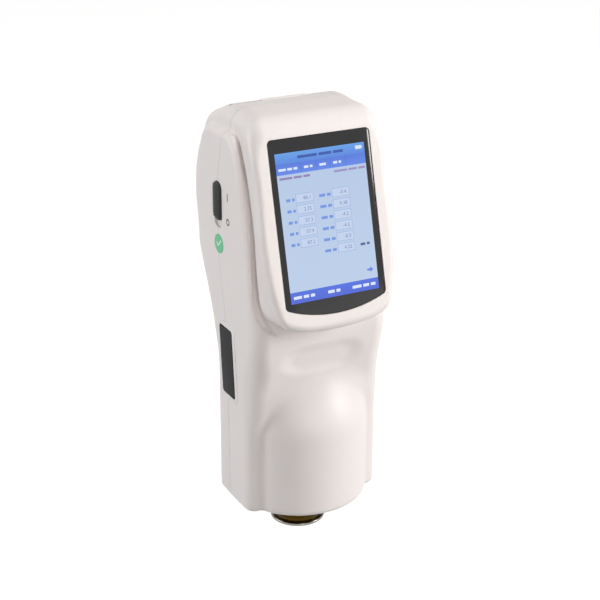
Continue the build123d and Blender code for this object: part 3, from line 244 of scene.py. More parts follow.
class Casing:
    """The outside of the casing as one distance field, in millimetres."""

    chin_low, chin_rise, chin_bend = 123.8, 9.4, 2.4  # middle of the chin, and how it rises to its ends
    chin_reach = 160                                  # the chin has no say above this height
    dome_back = 6
    valley_reach = 4.5                                # distance from the dome at which its valley ends
    dish_height, dish_straight, dish_squeeze = 104.4, 10.0, 0.6
    dish_floor, dish_rim = 3.0, 9.4

    def __init__(self, sizes):
        self.trunk = SideField(trunk_outline())
        self.spine = SideField(spine_outline())
        self.sizes = sizes

    def __call__(self, x, y, z):
        s = self.sizes
        side = np.abs(x)
        # Wings and grip: tight corners beside the screen, wide ones down the neck and the back
        rear = s.rear_round + (s.shoulder_round - s.rear_round) * ramp(z, 150, 205)
        blend = ramp(y, -3, 10)
        corner = np.interp(z, EDGE_Z, EDGE_R) * (1 - blend) + rear * blend
        trunk = both(self.trunk(y, z), side - HALF, corner)
        # The raised centre narrows behind the flare of its front edge
        behind = (y - bezel_y(z)) * math.cos(TILT)
        flare = np.interp(z, FLARE_Z, FLARE_X)
        half = flare + (SPINE_HALF - flare) * ramp(behind, s.flare_start, s.flare_end)
        crown = s.crown_round + (s.crown_back_round - s.crown_round) * ramp(y, 0, 18)
        edge = s.bezel_round + (crown - s.bezel_round) * ramp(z, 208, 228)
        spine = both(self.spine(y, z), side - half, edge)
        # The chin: a shallow arc across the foot of the panel, with wide round corners
        chin = (self.chin_low + self.chin_rise * (side / SPINE_HALF) ** self.chin_bend) - z
        spine = both(spine, np.where(z < self.chin_reach, chin, -40.0), s.chin_round)
        form = joined(trunk, spine, s.wing_blend + (s.chin_blend - s.wing_blend) * ramp(z, 142, 126))
        # A soft crease is drawn in along the foot of the raised centre
        crease = np.hypot(side - np.interp(z, CREASE_Z, CREASE_X), y - np.interp(z, CREASE_Z, CREASE_Y))
        form = both(form, s.crease_depth * np.interp(z, CREASE_Z, CREASE_R) - crease, s.crease_edge)
        # The bulge over the integrating sphere, with a valley down each side that fades before the seam
        dome = np.sqrt(x * x + y * y + np.maximum(z - DOME_SHOULDER, 0) ** 2) - DOME_RADIUS
        dome = np.maximum(dome, y - self.dome_back)
        meeting = 1 - ramp(np.abs(form - dome), 0, self.valley_reach)
        form = joined(form, dome, s.dome_blend + (s.dome_top_blend - s.dome_blend) * ramp(z, 62, 86))
        form = form + s.dome_groove * meeting * ramp(z, 90, 58) * ramp(y, -4, -13)
        form = np.maximum(form, side - HALF)
        form = both(form, BASE - z, s.base_round)
        # Oblong dish under the chin
        oval = np.hypot(np.maximum(side - self.dish_straight, 0) * self.dish_squeeze, z - self.dish_height)
        dish = s.dish_depth * (1 - ramp(oval, self.dish_floor, self.dish_rim))
        return form + np.where(y < 0, dish, 0)


def slope_of(field, points, reach=0.2):
    """The gradient of a field at points."""
    return np.stack([(field(*(points + e).T) - field(*(points - e).T)) / (2 * reach)
                     for e in np.eye(3) * reach], 1)


def net(field, low, high, step):
    """A closed quad mesh over the zero surface of a field, by surface nets, then settled onto it."""
    axes = [np.arange(a, b + step, step) for a, b in zip(low, high)]
    values = field(axes[0][:, None, None], axes[1][None, :, None], axes[2][None, None, :])
    below = values < 0
    nx, ny, nz = below.shape
    total = np.zeros((nx - 1, ny - 1, nz - 1, 3))
    count = np.zeros((nx - 1, ny - 1, nz - 1))
    corners = [(i, j, k) for i in (0, 1) for j in (0, 1) for k in (0, 1)]

    def at(corner, array):
        i, j, k = corner
        return array[i:i + nx - 1, j:j + ny - 1, k:k + nz - 1]

    for a in corners:
        for axis in range(3):
            if a[axis]:
                continue
            b = tuple(v + (n == axis) for n, v in enumerate(a))
            da, db = at(a, values), at(b, values)
            crosses = at(a, below) != at(b, below)
            t = np.where(crosses, da / np.where(crosses, da - db, 1), 0)
            for n in range(3):
                total[..., n] += np.where(crosses, a[n] + (t if n == axis else 0), 0)
            count += crosses
    filled = count > 0
    number = np.full(filled.shape, -1)
    number[filled] = np.arange(filled.sum())
    cell = np.argwhere(filled)
    points = np.array(low) + step * (cell + total[filled] / count[filled][:, None])
    quads = []
    for axis in range(3):
        u, v = [n for n in range(3) if n != axis]
        first = [slice(None)] * 3
        first[axis] = slice(None, -1)
        second = list(first)
        second[axis] = slice(1, None)
        a, b = below[tuple(first)], below[tuple(second)]
        edges = np.argwhere(a != b)
        edges = edges[(edges[:, u] > 0) & (edges[:, v] > 0)]
        ring = []
        for du, dv in ((1, 1), (0, 1), (0, 0), (1, 0)):
            c = edges.copy()
            c[:, u] -= du
            c[:, v] -= dv
            ring.append(number[c[:, 0], c[:, 1], c[:, 2]])
        quad = np.stack(ring, 1)
        flip = a[edges[:, 0], edges[:, 1], edges[:, 2]] == (axis == 1)
        quad[flip] = quad[flip][:, ::-1]
        quads.append(quad)
    quads = np.concatenate(quads)
    for _ in range(3):
        slope = slope_of(field, points)
        depth = field(*points.T) / np.maximum((slope ** 2).sum(1), 0.2)
        points -= np.clip(depth, -step, step)[:, None] * slope
    return points, quads


# ---------------------------------------------------------------- meshes

def placed(name, data):
    """A new object in the scene that holds a mesh, a curve, a lamp or a camera."""
    obj = bpy.data.objects.new(name, data)
    bpy.context.scene.collection.objects.link(obj)
    return obj


def mesh_of(name, points, faces):
    """A mesh from points in millimetres."""
    mesh = bpy.data.meshes.new(name)
    mesh.from_pydata((np.asarray(points, float) * MM).tolist(), [], [list(map(int, f)) for f in faces])
    return mesh


def edited(mesh, change):
    """A mesh after a change that is made to it with bmesh."""
    edit = bmesh.new()
    edit.from_mesh(mesh)
    change(edit)
    edit.to_mesh(mesh)
    edit.free()
    return mesh


def prism(name, outline, carry, low, high):
    """A closed block: an outline of (u, v) points, carried into space from low to high."""
    n = len(outline)
    points = [carry(u, v, w) for w in (low, high) for u, v in outline]
    faces = [range(n), range(n, 2 * n)] + [(i, (i + 1) % n, n + (i + 1) % n, n + i) for i in range(n)]
    return edited(mesh_of(name, points, faces),
                  lambda edit: bmesh.ops.recalc_face_normals(edit, faces=edit.faces))


def left_wall(y, z, depth):
    """A point on the left side wall, depth counted inwards from its face."""
    return depth - HALF, y, z


def right_wall(y, z, depth):
    """A point on the right side wall, depth counted inwards from its face."""
    return HALF - depth, y, z


def sideways(y, z, x):
    """A side view's outline, carried across."""
    return x, y, z


def upright(x, y, z):
    """A plan's outline, carried up."""
    return x, y, z


def rearwards(x, z, y):
    """A front view's outline, carried back."""
    return x, y, z


def stadium(centre_u, centre_v, width, height, radius):
    """A rounded oblong, radius up to half its width."""
    count = 16
    points = []
    for quarter, (su, sv) in enumerate(((1, 1), (-1, 1), (-1, -1), (1, -1))):
        for i in range(count + 1):
            a = math.pi / 2 * (quarter + i / count)
            points.append((centre_u + su * (width / 2 - radius) + radius * math.cos(a),
                           centre_v + sv * (height / 2 - radius) + radius * math.sin(a)))
    return points


def disc(centre_u, centre_v, radius):
    """A round outline."""
    return stadium(centre_u, centre_v, 2 * radius, 2 * radius, radius)


def window_outline(grow=0.0):
    """The cover glass: square-shouldered above, and bowed along its lower edge."""
    half, top, corner, bow, radius = 27.95, 43.4, -39.0, 5.6, 2.5
    circle = (half ** 2 + bow ** 2) / (2 * bow)
    middle = corner - bow + circle
    half, top, circle = half + grow, top + grow, circle + grow
    low = middle - math.sqrt(circle ** 2 - half ** 2)
    corners = [(half, top, radius), (-half, top, radius), (-half, low, radius)]
    corners += [(u, middle - math.sqrt(circle ** 2 - u ** 2), 0) for u in np.linspace(4 - half, half - 4, 31)]
    return rounded(corners + [(half, low, radius)])


def hatch_outline(grow):
    """The leaning oblong of the socket cover on the left wall, as (y, z), with room round it."""
    width, height, lean, radius = 14.2, 36.6, 3.4, 1.5
    shift = lean / 2 * (height + 2 * grow) / height
    half, tall = (width + 2 * grow) / 2, (height + 2 * grow) / 2
    return rounded([(HATCH_Y + side * half + end * shift, HATCH_Z + end * tall, radius + grow)
                    for side, end in ((-1, -1), (1, -1), (1, 1), (-1, 1))])


def baked(obj):
    """The mesh of an object with its modifiers applied. The object is removed."""
    depsgraph = bpy.context.evaluated_depsgraph_get()
    mesh = bpy.data.meshes.new_from_object(obj.evaluated_get(depsgraph), depsgraph=depsgraph)
    bpy.data.objects.remove(obj)
    return mesh


def carve(mesh, operation, cutter):
    """A closed mesh cut, kept or joined by another closed mesh."""
    target, tool = placed(mesh.name, mesh), placed(cutter.name, cutter)
    modifier = target.modifiers.new("carve", "BOOLEAN")
    modifier.operation, modifier.solver, modifier.object = operation, "MANIFOLD", tool
    result = baked(target)
    bpy.data.objects.remove(tool)
    if not result.polygons:
        raise RuntimeError(f"{operation} of {mesh.name} with {cutter.name} left nothing")
    return result


def dressed(mesh, name, body, *nodes, slot, finish=None):
    """Puts a finished mesh into the scene as a piece that rides on a body and stands for CAD nodes.
    Its finish is its slot's, unless it has one of its own."""
    mesh.name = name
    mesh.materials.clear()
    mesh.materials.append(materials()[finish or slot])
    obj = placed(name, mesh)
    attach(obj, body)
    if nodes:
        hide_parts(*nodes)


def smoothed(mesh, angle=40):
    """A mesh shaded smooth, except over edges sharper than an angle."""
    mesh.shade_smooth()
    mesh.set_sharp_from_angle(angle=math.radians(angle))
    return mesh


def eased(mesh, width, segments=3):
    """A mesh with its sharp edges rolled over to a small radius in millimetres."""
    obj = placed(mesh.name, mesh)
    bevel = obj.modifiers.new("ease", "BEVEL")
    bevel.width, bevel.segments, bevel.limit_method = width * MM, segments, "ANGLE"
    bevel.angle_limit = math.radians(30)
    bevel.use_clamp_overlap = True
    return smoothed(baked(obj), SOFT_ANGLE)


def merged_copy(node):
    """A CAD node's mesh, copied, with its loose triangles joined into whole faces."""
    def join_faces(edit):
        bmesh.ops.remove_doubles(edit, verts=edit.verts, dist=2e-6)
        bmesh.ops.dissolve_limit(edit, angle_limit=math.radians(1.5), verts=edit.verts, edges=edit.edges)
    return edited(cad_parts[node].data.copy(), join_faces)


def box_of(node):
    """A CAD node's lowest corner, highest corner and middle, in millimetres."""
    low, high = (np.array(v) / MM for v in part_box(node))
    return low, high, (low + high) / 2


def settle_normals(mesh, field):
    """Gives moulded faces the normals of their field, so that highlights run unbroken past every cut."""
    mesh.shade_smooth()
    place = np.empty(len(mesh.vertices) * 3)
    mesh.vertices.foreach_get("co", place)
    place = place.reshape(-1, 3) / MM
    corner = np.empty(len(mesh.loops), np.int32)
    mesh.loops.foreach_get("vertex_index", corner)
    flat = np.empty(len(mesh.polygons) * 3)
    mesh.polygons.foreach_get("normal", flat)
    sizes = np.empty(len(mesh.polygons), np.int32)
    mesh.polygons.foreach_get("loop_total", sizes)
    flat = np.repeat(flat.reshape(-1, 3), sizes, axis=0)
    slope = slope_of(field, place)
    slope /= np.linalg.norm(slope, axis=1)[:, None]
    depth = field(*place.T)
    lining = np.abs(depth + WALL) < 0.25
    moulded = (np.abs(depth) < 0.06) | lining
    wanted = np.where(lining[:, None], -slope, slope)[corner]
    follows = moulded[corner] & ((wanted * flat).sum(1) > 0.72)
    mesh.normals_split_custom_set(np.where(follows[:, None], wanted, flat))
    return mesh


# ---------------------------------------------------------------- materials

def add(tree, kind, settings=None, values=None, links=None):
    """Adds a node, with its settings, the values of its sockets and the links into them."""
    node = tree.nodes.new(kind)
    for name, value in (settings or {}).items():
        setattr(node, name, value)
    for name, value in (values or {}).items():
        node.inputs[name].default_value = value
    for name, socket in (links or {}).items():
        tree.links.new(socket, node.inputs[name])
    return node


def new_material(name):
    """A material with an empty tree."""
    material = bpy.data.materials.new(name)
    material.use_nodes = True
    material.node_tree.nodes.clear()
    return material, material.node_tree


def patterned(name):
    """A material with an empty tree, and the Object coordinates that its patterns follow."""
    material, tree = new_material(name)
    return material, tree, add(tree, "ShaderNodeTexCoord").outputs["Object"]


def finished(tree, colour, gloss, pattern, relief, values):
    """Ends a material: a shader whose colour and gloss come from nodes, with a pattern as its relief,
    in micrometres."""
    links = {"Base Color": colour, "Roughness": gloss}
    if relief:
        bump = add(tree, "ShaderNodeBump", values={"Strength": 1.0, "Distance": relief * MICROMETRE},
                   links={"Height": pattern})
        links["Normal"] = bump.outputs["Normal"]
    shader = add(tree, "ShaderNodeBsdfPrincipled", values=values, links=links)
    add(tree, "ShaderNodeOutputMaterial", links={"Surface": shader.outputs["BSDF"]})


def varied(tree, pattern, first, second, rough, relief, values):
    """Ends a material whose colour and gloss both follow a pattern between two values."""
    tint = add(tree, "ShaderNodeMix", {"data_type": "RGBA"}, {6: linear(first), 7: linear(second)},
               {0: pattern})
    gloss = add(tree, "ShaderNodeMapRange", values={"To Min": rough[0], "To Max": rough[1]},
                links={"Value": pattern})
    finished(tree, tint.outputs[2], gloss.outputs["Result"], pattern, relief, values)


def grained(name, first, second, grain, rough, relief=0, metallic=0.0, **values):
    """A finish that wanders between two colours over a grain of a real size in millimetres."""
    material, tree, place = patterned(name)
    noise = add(tree, "ShaderNodeTexNoise",
                values={"Scale": 1 / (grain * MM), "Detail": 3.0, "Roughness": 0.55}, links={"Vector": place})
    varied(tree, noise.outputs["Fac"], first, second, rough, relief, {"Metallic": metallic, **values})
    return material


def turned_metal(name, first, second, pitch, rough, relief):
    """Lathe-turned metal: fine rings about the optical axis, which draw the light out across them."""
    material, tree, place = patterned(name)
    rings = add(tree, "ShaderNodeTexWave", {"wave_type": "RINGS", "rings_direction": "Z"},
                {"Scale": 0.314 / (pitch * MM), "Distortion": 0.4, "Detail": 2.0}, {"Vector": place})
    varied(tree, rings.outputs["Fac"], first, second, rough, relief, {"Metallic": 1.0})
    return material


def casing_abs(shade):
    """Moulded ABS with a fine spark-eroded texture: a soft, broad sheen and no mirror image.
    The real grain is about 0.1 mm, too fine to show, so it is drawn at 0.45 mm."""
    material, tree, place = patterned("Moulded ABS, off-white")
    grain, flow = (add(tree, "ShaderNodeTexNoise", values={"Scale": 1 / (size * MM), "Detail": 2.0},
                       links={"Vector": place}) for size in (0.45, 45))
    depth = add(tree, "ShaderNodeMapRange", values={"To Min": 0.975, "To Max": 1.01},
                links={"Value": flow.outputs["Fac"]})
    tint = add(tree, "ShaderNodeVectorMath", {"operation": "SCALE"}, {0: tuple(shade)[:3]},
               {"Scale": depth.outputs["Result"]})
    gloss = add(tree, "ShaderNodeMapRange", values={"To Min": 0.4, "To Max": 0.52},
                links={"Value": grain.outputs["Fac"]})
    finished(tree, tint.outputs[0], gloss.outputs["Result"], grain.outputs["Fac"], 9,
             {"IOR": 1.5, "Subsurface Weight": 0.12, "Subsurface Scale": 0.002,
              "Subsurface Radius": (1.0, 0.62, 0.42)})
    return material


def solder_mask():
    """A printed board: green solder mask, a shade lighter where copper tracks run under it."""
    material, tree, place = patterned("Solder mask over copper")
    tracks = add(tree, "ShaderNodeTexBrick", {"offset": 0.37},
                 {"Color1": linear("#0c4524"), "Color2": linear("#0e4f29"), "Mortar": linear("#2c8048"),
                  "Scale": 1.0, "Mortar Size": 0.25 * MM, "Brick Width": 6.1 * MM, "Row Height": 1.9 * MM},
                 {"Vector": place})
    cloud = add(tree, "ShaderNodeTexNoise",
                values={"Scale": 1 / (3.0 * MM), "Detail": 3.0, "Roughness": 0.55}, links={"Vector": place})
    gloss = add(tree, "ShaderNodeMapRange", values={"To Min": 0.25, "To Max": 0.38},
                links={"Value": cloud.outputs["Fac"]})
    finished(tree, tracks.outputs["Color"], gloss.outputs["Result"], None, 0, {})
    return material


def lit_crystal(brightness):
    """A backlit liquid crystal panel under glass: it gives its own light, with a hard gloss on top.
    The picture's colours are kept on the corners of its mesh."""
    material, tree, place = patterned("Backlit liquid crystal under glass")
    shade = add(tree, "ShaderNodeVertexColor", {"layer_name": "shade"})
    smear = add(tree, "ShaderNodeTexNoise", values={"Scale": 1 / (9 * MM), "Detail": 3.0},
                links={"Vector": place})
    gloss = add(tree, "ShaderNodeMapRange", values={"To Min": 0.06, "To Max": 0.14},
                links={"Value": smear.outputs["Fac"]})
    shader = add(tree, "ShaderNodeBsdfPrincipled",
                 values={"Base Color": linear("#0a0b10"), "IOR": 1.5, "Emission Strength": brightness},
                 links={"Emission Color": shade.outputs["Color"], "Roughness": gloss.outputs["Result"]})
    add(tree, "ShaderNodeOutputMaterial", links={"Surface": shader.outputs["BSDF"]})
    return material


FINISHES = {}


def materials():
    """Every finish, by the name of its slot. Made once, from the colours in the sidebar."""
    if FINISHES:
        return FINISHES
    colours = bpy.context.scene.colour_meter_colours
    FINISHES.update({
        "casing": casing_abs(colours.casing),
        # Black-printed cover glass: a hard mirror gloss with faint finger smears
        "window": grained("Cover glass, black printed", "#0b0a0e", "#0f0e12", 14.0, (0.05, 0.11), IOR=1.52),
        "display": lit_crystal(colours.brightness),
        # Closed-cell foam: dull, with cells of about 0.3 mm
        "foam": grained("Closed-cell foam", "#1a1a1a", "#262626", 0.3, (0.85, 0.95), 60),
        # Zinc-plated steel: cool grey with a cloudy, faintly uneven gloss
        "steel": grained("Zinc-plated steel", "#b9bcc0", "#a6a9ad", 1.6, (0.24, 0.38), 2, 1.0),
        # Polyimide film: amber and shiny, faintly clouded
        "flex": grained("Polyimide film", "#a8651a", "#bd7a26", 2.0, (0.22, 0.3)),
        # Turned and polished stainless steel, bright in itself, its tool rings just visible. Its grey is
        # painted darker than the steel's own: painted shade for the shadowed underside of the casing that the
        # ring reflects
        "chrome": turned_metal("Turned stainless steel, darkened with painted shade", "#908d87", "#7a7771", 0.35, (0.10, 0.2), 3),
        # Dark bronze anodised aluminium, turned: a broader sheen over its rings. Its bronze is painted darker
        # still: painted shade for the shadowed underside of the casing that the neck reflects
        "bronze": turned_metal("Bronze-anodised aluminium, darkened with painted shade", "#4d3a10", "#3c2d0d", 0.4, (0.24, 0.36), 4),
        # Barium sulphate paint: chalk white and quite matt
        "diffuser": grained("Barium sulphate coating", "#f6f6f4", "#efefec", 0.5, (0.92, 0.98), 12),
        "board": solder_mask(),
        # Clear epoxy over the lamp dies: a wet, slightly yellow gloss
        "lamp": grained("Clear epoxy lamp", "#f2efdc", "#e6e1c4", 0.8, (0.08, 0.16), IOR=1.52),
        # Polished glass: a pale, sharp mirror gloss
        "lens": grained("Polished optical glass", "#dfe8ea", "#d4dfe2", 4.0, (0.02, 0.05), IOR=1.52),
        # Black anodised aluminium, bead blasted: dark, with a grey satin sheen
        "black_metal": grained("Black-anodised aluminium", "#1b1b1d", "#26262a", 0.35, (0.42, 0.55), 8, 0.85),
        # Glass with a film of aluminium: an almost perfect mirror
        "mirror": grained("Aluminised glass", "#dcdde0", "#d2d3d8", 6.0, (0.02, 0.05), 0, 1.0),
        # Moulded epoxy packages: dull black
        "component": grained("Moulded epoxy package", "#131315", "#1d1d20", 0.4, (0.5, 0.62), 6),
        # Moulded ABS, as it leaves the mould: an even satin
        "inner_plastic": grained("Moulded ABS, dark grey", "#333336", "#3b3b3f", 0.5, (0.42, 0.52), 9),
        # Shrink film over the cells: glossy and slightly puckered
        "battery": grained("PVC shrink film", "#24386b", "#2b4178", 2.5, (0.2, 0.32), 25),
        # Gold flash over spring bronze: warm and bright
        "contact": grained("Gold-flashed spring bronze", "#cfa64e", "#bd9443", 0.8, (0.2, 0.3), 2, 1.0),
        # Finely textured ABS: satin, with no mirror image
        "black_plastic": grained("Moulded ABS, black", "#121211", "#181817", 0.4, (0.42, 0.55), 10, IOR=1.4),
        "key": grained("Moulded ABS, light grey", "#cdcac7", "#c8c5c2", 0.5, (0.36, 0.45), 8),
        # Thermoplastic rubber: a velvety, light-swallowing skin
        "rubber": grained("Thermoplastic rubber", "#121315", "#17181a", 0.35, (0.62, 0.74), 14, IOR=1.36),
        # Vinyl label with a thin laminate: a flat colour under a quiet gloss
        "seal": grained("Laminated vinyl", "#45bd7f", "#4dc98a", 1.2, (0.24, 0.34), 4),
        # Pad-printed ink: an even film with a slight sheen
        "ink": grained("Pad-printing ink, black", "#2b2a29", "#33322f", 0.3, (0.4, 0.5), 3),
        "white_ink": grained("Pad-printing ink, white", "#e9f6ee", "#dff0e6", 0.3, (0.35, 0.45), 3),
    })
    return FINISHES


# ---------------------------------------------------------------- settings

def in_mm(group):
    """The sizes of a property group, with its lengths in millimetres."""
    values = {}
    for p in group.bl_rna.properties:
        if p.type == "FLOAT" and not p.is_array:
            values[p.identifier] = getattr(group, p.identifier) / (MM if p.unit == "LENGTH" else 1)
    return SimpleNamespace(**values)


def length(name, description, default):
    """A setting that is a length, its default in millimetres."""
    return FloatProperty(name=name, description=description, default=default * MM, precision=4,
                         subtype="DISTANCE", unit="LENGTH")


def amount(name, description, default):
    """A setting that is a plain number, never negative."""
    return FloatProperty(name=name, description=description, default=default, min=0)


def colour(name, description, default):
    """A setting that is a colour, its default an sRGB hex value."""
    return FloatVectorProperty(name=name, description=description, default=linear(default), size=4,
                               subtype="COLOR", min=0, max=1)


class CasingSizes(bpy.types.PropertyGroup):
    rear_round: length("Rear corners", "Radius of the corners down the back of the grip", 12.0)
    shoulder_round: length("Shoulders", "Radius along the top of the side walls", 3.6)
    crown_round: length("Crown", "Radius along the sides of the raised centre, over the screen", 9.5)
    crown_back_round: length("Crown's back", "The same radius behind the seam, over the head", 6.5)
    flare_start: length("Flare start", "Depth behind the screen panel at which it starts to narrow", 2.0)
    flare_end: length("Flare end", "Depth behind the screen panel at which it has narrowed", 15.0)
    bezel_round: length("Screen panel edge", "Radius along the edges of the raised screen panel", 3.4)
    chin_round: length("Chin edge", "Radius along the lower edge of the screen panel", 6.0)
    wing_blend: length("Wing hollow", "Softness of the hollow between the screen panel and the wings", 1.6)
    chin_blend: length("Chin hollow", "Softness of the hollow under the screen panel", 3.4)
    crease_depth: amount("Crease depth", "Scale on the crease beside the screen panel", 1.0)
    crease_edge: length("Crease edge", "Radius along the edges of that crease", 1.2)
    dome_blend: length("Dome hollow", "Softness of the hollow round the bulge over the sphere", 3.6)
    dome_top_blend: length("Dome top hollow", "Softness of the hollow over the top of that bulge", 11.0)
    dome_groove: length("Dome valley", "Extra depth of the valley down each side of that bulge", 1.0)
    base_round: length("Base edge", "Radius round the underside", 3.2)
    dish_depth: length("Dish depth", "Depth of the oblong dish under the chin", 1.45)
    seam_gap: length("Seam gap", "Gap between the front and rear mouldings", 0.22)
    door_gap: length("Door gap", "Gap round the battery door", 0.35)
    fineness: length("Mesh size", "Size of the mesh faces on the casing", 0.95)


class TrimSizes(bpy.types.PropertyGroup):
    edge: length("Edge radius", "Radius on the edges of small moulded parts", 0.35)
    glass_edge: length("Glass edge", "Ground edge of the cover glass", 0.25)
    metal_edge: length("Metal edge", "Radius on the edges of the measuring ring", 0.22)
    rib_pitch: length("Rib pitch", "Spacing of the finger ribs on the power slider", 1.35)
    rib_height: length("Rib height", "Height of the finger ribs on the power slider", 0.45)
    screw_head: length("Screw head", "Radius of the casing screw heads", 2.7)
    screw_recess: length("Screw recess", "Width of the cross recess in the screw heads", 0.9)


class Colours(bpy.types.PropertyGroup):
    casing: colour("Casing", "Colour of the casing mouldings", "#f3ecea")
    title: colour("Title band", "Colour of the band along the top of the screen", "#63a0e8")
    page: colour("Page", "Background colour of the screen", "#b5c9e6")
    footer: colour("Footer", "Colour of the band along the foot of the screen", "#4a64d8")
    brightness: amount("Brightness", "Light given out by the screen", 0.95)


class StageLook(bpy.types.PropertyGroup):
    key: amount("Key light", "Power of the lamp at the front right, in watts", 10.2)
    front: amount("Front light", "Power of the lamp straight ahead, in watts", 3.0)
    top: amount("Top light", "Power of the lamp overhead, in watts", 4.6)
    side: amount("Side light", "Power of the large lamp at the left, in watts", 7.4)
    sky: amount("Surround", "Strength of the pale surround", 0.15)
    floor: colour("Floor", "Colour of the floor", "#ffffff")


# ---------------------------------------------------------------- pieces

class COLOUR_METER_OT_casing(bpy.types.Operator):
    """Moulds the front and rear shells and the battery door from one smooth form"""
    bl_idname = "colour_meter.casing"
    bl_label = "Casing and battery door"

    def execute(self, context):
        sizes = in_mm(context.scene.colour_meter_casing)
        field = Casing(sizes)
        low, high = np.array([-41.0, -46.0, BASE - 3]), np.array([41.0, 49.0, 233.5])
        form = mesh_of("form", *net(field, low, high, sizes.fineness))
        hollow = mesh_of("hollow", *net(lambda x, y, z: field(x, y, z) + WALL, low, high, 2.1))
        shell = carve(form, "DIFFERENCE", hollow)
        for cutter in self.openings():
            shell = carve(shell, "DIFFERENCE", cutter)
        front = carve(shell, "INTERSECT", self.seam(0))
        rear = carve(shell, "DIFFERENCE", self.seam(sizes.seam_gap))
        door = carve(rear, "INTERSECT", self.door_block(sizes.door_gap))
        rear = carve(rear, "DIFFERENCE", self.door_block(0))

        def tab(x, y, z):
            """The door's finger tab, a little proud of the casing."""
            block = np.maximum(np.maximum(np.abs(x) - 12.5, np.abs(y - 17) - 2), 227 - z)
            return both(field(x, y, z) - 0.45, block, 0.4)

        low, high = np.array([-15.0, 12.0, 224.0]), np.array([15.0, 22.0, 233.0])
        door = carve(door, "UNION", mesh_of("tab", *net(tab, low, high, 0.4)))
        for mesh, name, body, node in ((front, "front_casing", "housing", "front_shell"),
                                       (rear, "rear_casing", "housing", "rear_shell"),
                                       (door, "battery_cover", "battery_door", "battery_door")):
            dressed(settle_normals(mesh, field), name, body, node, slot="casing")
        return {"FINISHED"}

    @staticmethod
    def openings():
        """Every hole and pocket in the casing. Depths are counted inwards from the wall."""
        yield prism("glass pocket", window_outline(GLASS_GAP), on_screen, -0.85, 8)
        yield prism("display opening", stadium(0, 1.5, 53.2, 80.2, 1.0), on_screen, -9, 0)
        yield prism("slider recess", stadium(SLIDER_Y, SLIDER_Z, 9.1, 24.2, 3.85), left_wall, -CLEAR, 1.3)
        yield prism("slider slot", stadium(SLIDER_Y, SLIDER_Z, 3.5, 9.2, 0.3), left_wall, -CLEAR, THROUGH)
        yield prism("button opening", stadium(BUTTON_Y, BUTTON_Z, 11.5, 19.5, 5.75), right_wall,
                    -CLEAR, THROUGH)
        yield prism("socket opening", hatch_outline(3.0), left_wall, -CLEAR, 4.5)
        yield prism("ring opening", disc(0, 0, 16), upright, BASE - OVERRUN, BASE + OVERRUN)
        for x, z in SCREWS:
            yield prism("screw pocket", disc(x, z, 3.2), rearwards, 17.8, 60)

    @staticmethod
    def seam(gap):
        """All that lies in front of the seam between the two mouldings."""
        line = rounded([(4.0, 0, 0), (4.0, 112, 20), (12.5, 150, 20), (12.5, 196, 20), (8.5, 212, 10),
                        (2.5, 241, 0), (-77, 241, 0), (-77, 0, 0)])
        moved = [(y + (gap if y > -50 else 0), z) for y, z in line]
        return prism("front of the seam", moved, sideways, -60, 60)

    @staticmethod
    def door_block(gap):
        """The corner of the head that the battery door takes up. Its front edge stands further off."""
        edge, front, foot = 30 - gap, 15 + 3.5 * gap, 150 + gap
        return prism("door block", [(front, foot), (70, foot), (70, 250), (front, 250)],
                     sideways, -edge, edge)


class Picture:
    """Flat coloured shapes on the lit area, kept as one mesh with a colour on every corner.
    Places are in millimetres from the top left of the lit area."""

    width, height = 49.0, 73.0
    lift, layer_step = 0.315, 0.008  # first layer in front of the lit area, and each one before the last
    caps = 0.7                       # height of the font's figures as a share of its size

    def __init__(self):
        self.points, self.faces, self.shades = [], [], []

    def put(self, points, faces, shades, layer):
        """Adds shapes given across and down the lit area, on a layer."""
        start = len(self.points)
        out = self.lift + self.layer_step * layer
        self.points += [on_screen(u - self.width / 2, self.height / 2 - v, out) for u, v in points]
        self.faces += [[start + i for i in face] for face in faces]
        self.shades += [shades[i] for face in faces for i in face]

    def patch(self, left, top, width, height, upper, lower=None, layer=1):
        """An oblong, shaded from its upper to its lower edge."""
        corners = [(left, top + height), (left + width, top + height), (left + width, top), (left, top)]
        lower = lower or upper
        self.put(corners, [(0, 1, 2, 3)], [lower, lower, upper, upper], layer)

    def box(self, left, top, width, height, line, shade, fill):
        """An oblong with an edge line."""
        self.patch(left, top, width, height, shade)
        self.patch(left + line, top + line, width - 2 * line, height - 2 * line, fill, layer=2)

    def bars(self, left, middle, width, height, shade):
        """A few plain bars of one height in place of words."""
        at, share = left, (0.46, 0.30, 0.24) if width > 9 else (0.62, 0.38) if width > 4 else (1.0,)
        gap = 0.5 * height
        room = width - gap * (len(share) - 1)
        for part in share:
            self.patch(at, middle - 0.36 * height, room * part, 0.72 * height, shade, layer=2)
            at += room * part + gap

    def number(self, text, right, middle, height, shade):
        """A plain number, set flush right."""
        curve = bpy.data.curves.new("number", "FONT")
        curve.body, curve.size, curve.resolution_u = text, height / self.caps, 3
        mesh = baked(placed("number", curve))
        bpy.data.curves.remove(curve)
        flat = [tuple(v.co)[:2] for v in mesh.vertices]
        reach = max(u for u, v in flat)
        points = [(right - reach + u, middle + height / 2 - v) for u, v in flat]
        faces = [tuple(p.vertices) if p.normal.z > 0 else tuple(p.vertices)[::-1] for p in mesh.polygons]
        self.put(points, faces, [shade] * len(points), 3)
        bpy.data.meshes.remove(mesh)

    def mesh(self):
        """All shapes as one mesh."""
        mesh = mesh_of("picture", self.points, self.faces)
        shade = mesh.color_attributes.new("shade", "FLOAT_COLOR", "CORNER")
        shade.data.foreach_set("color", np.array(self.shades, float).ravel())
        return mesh


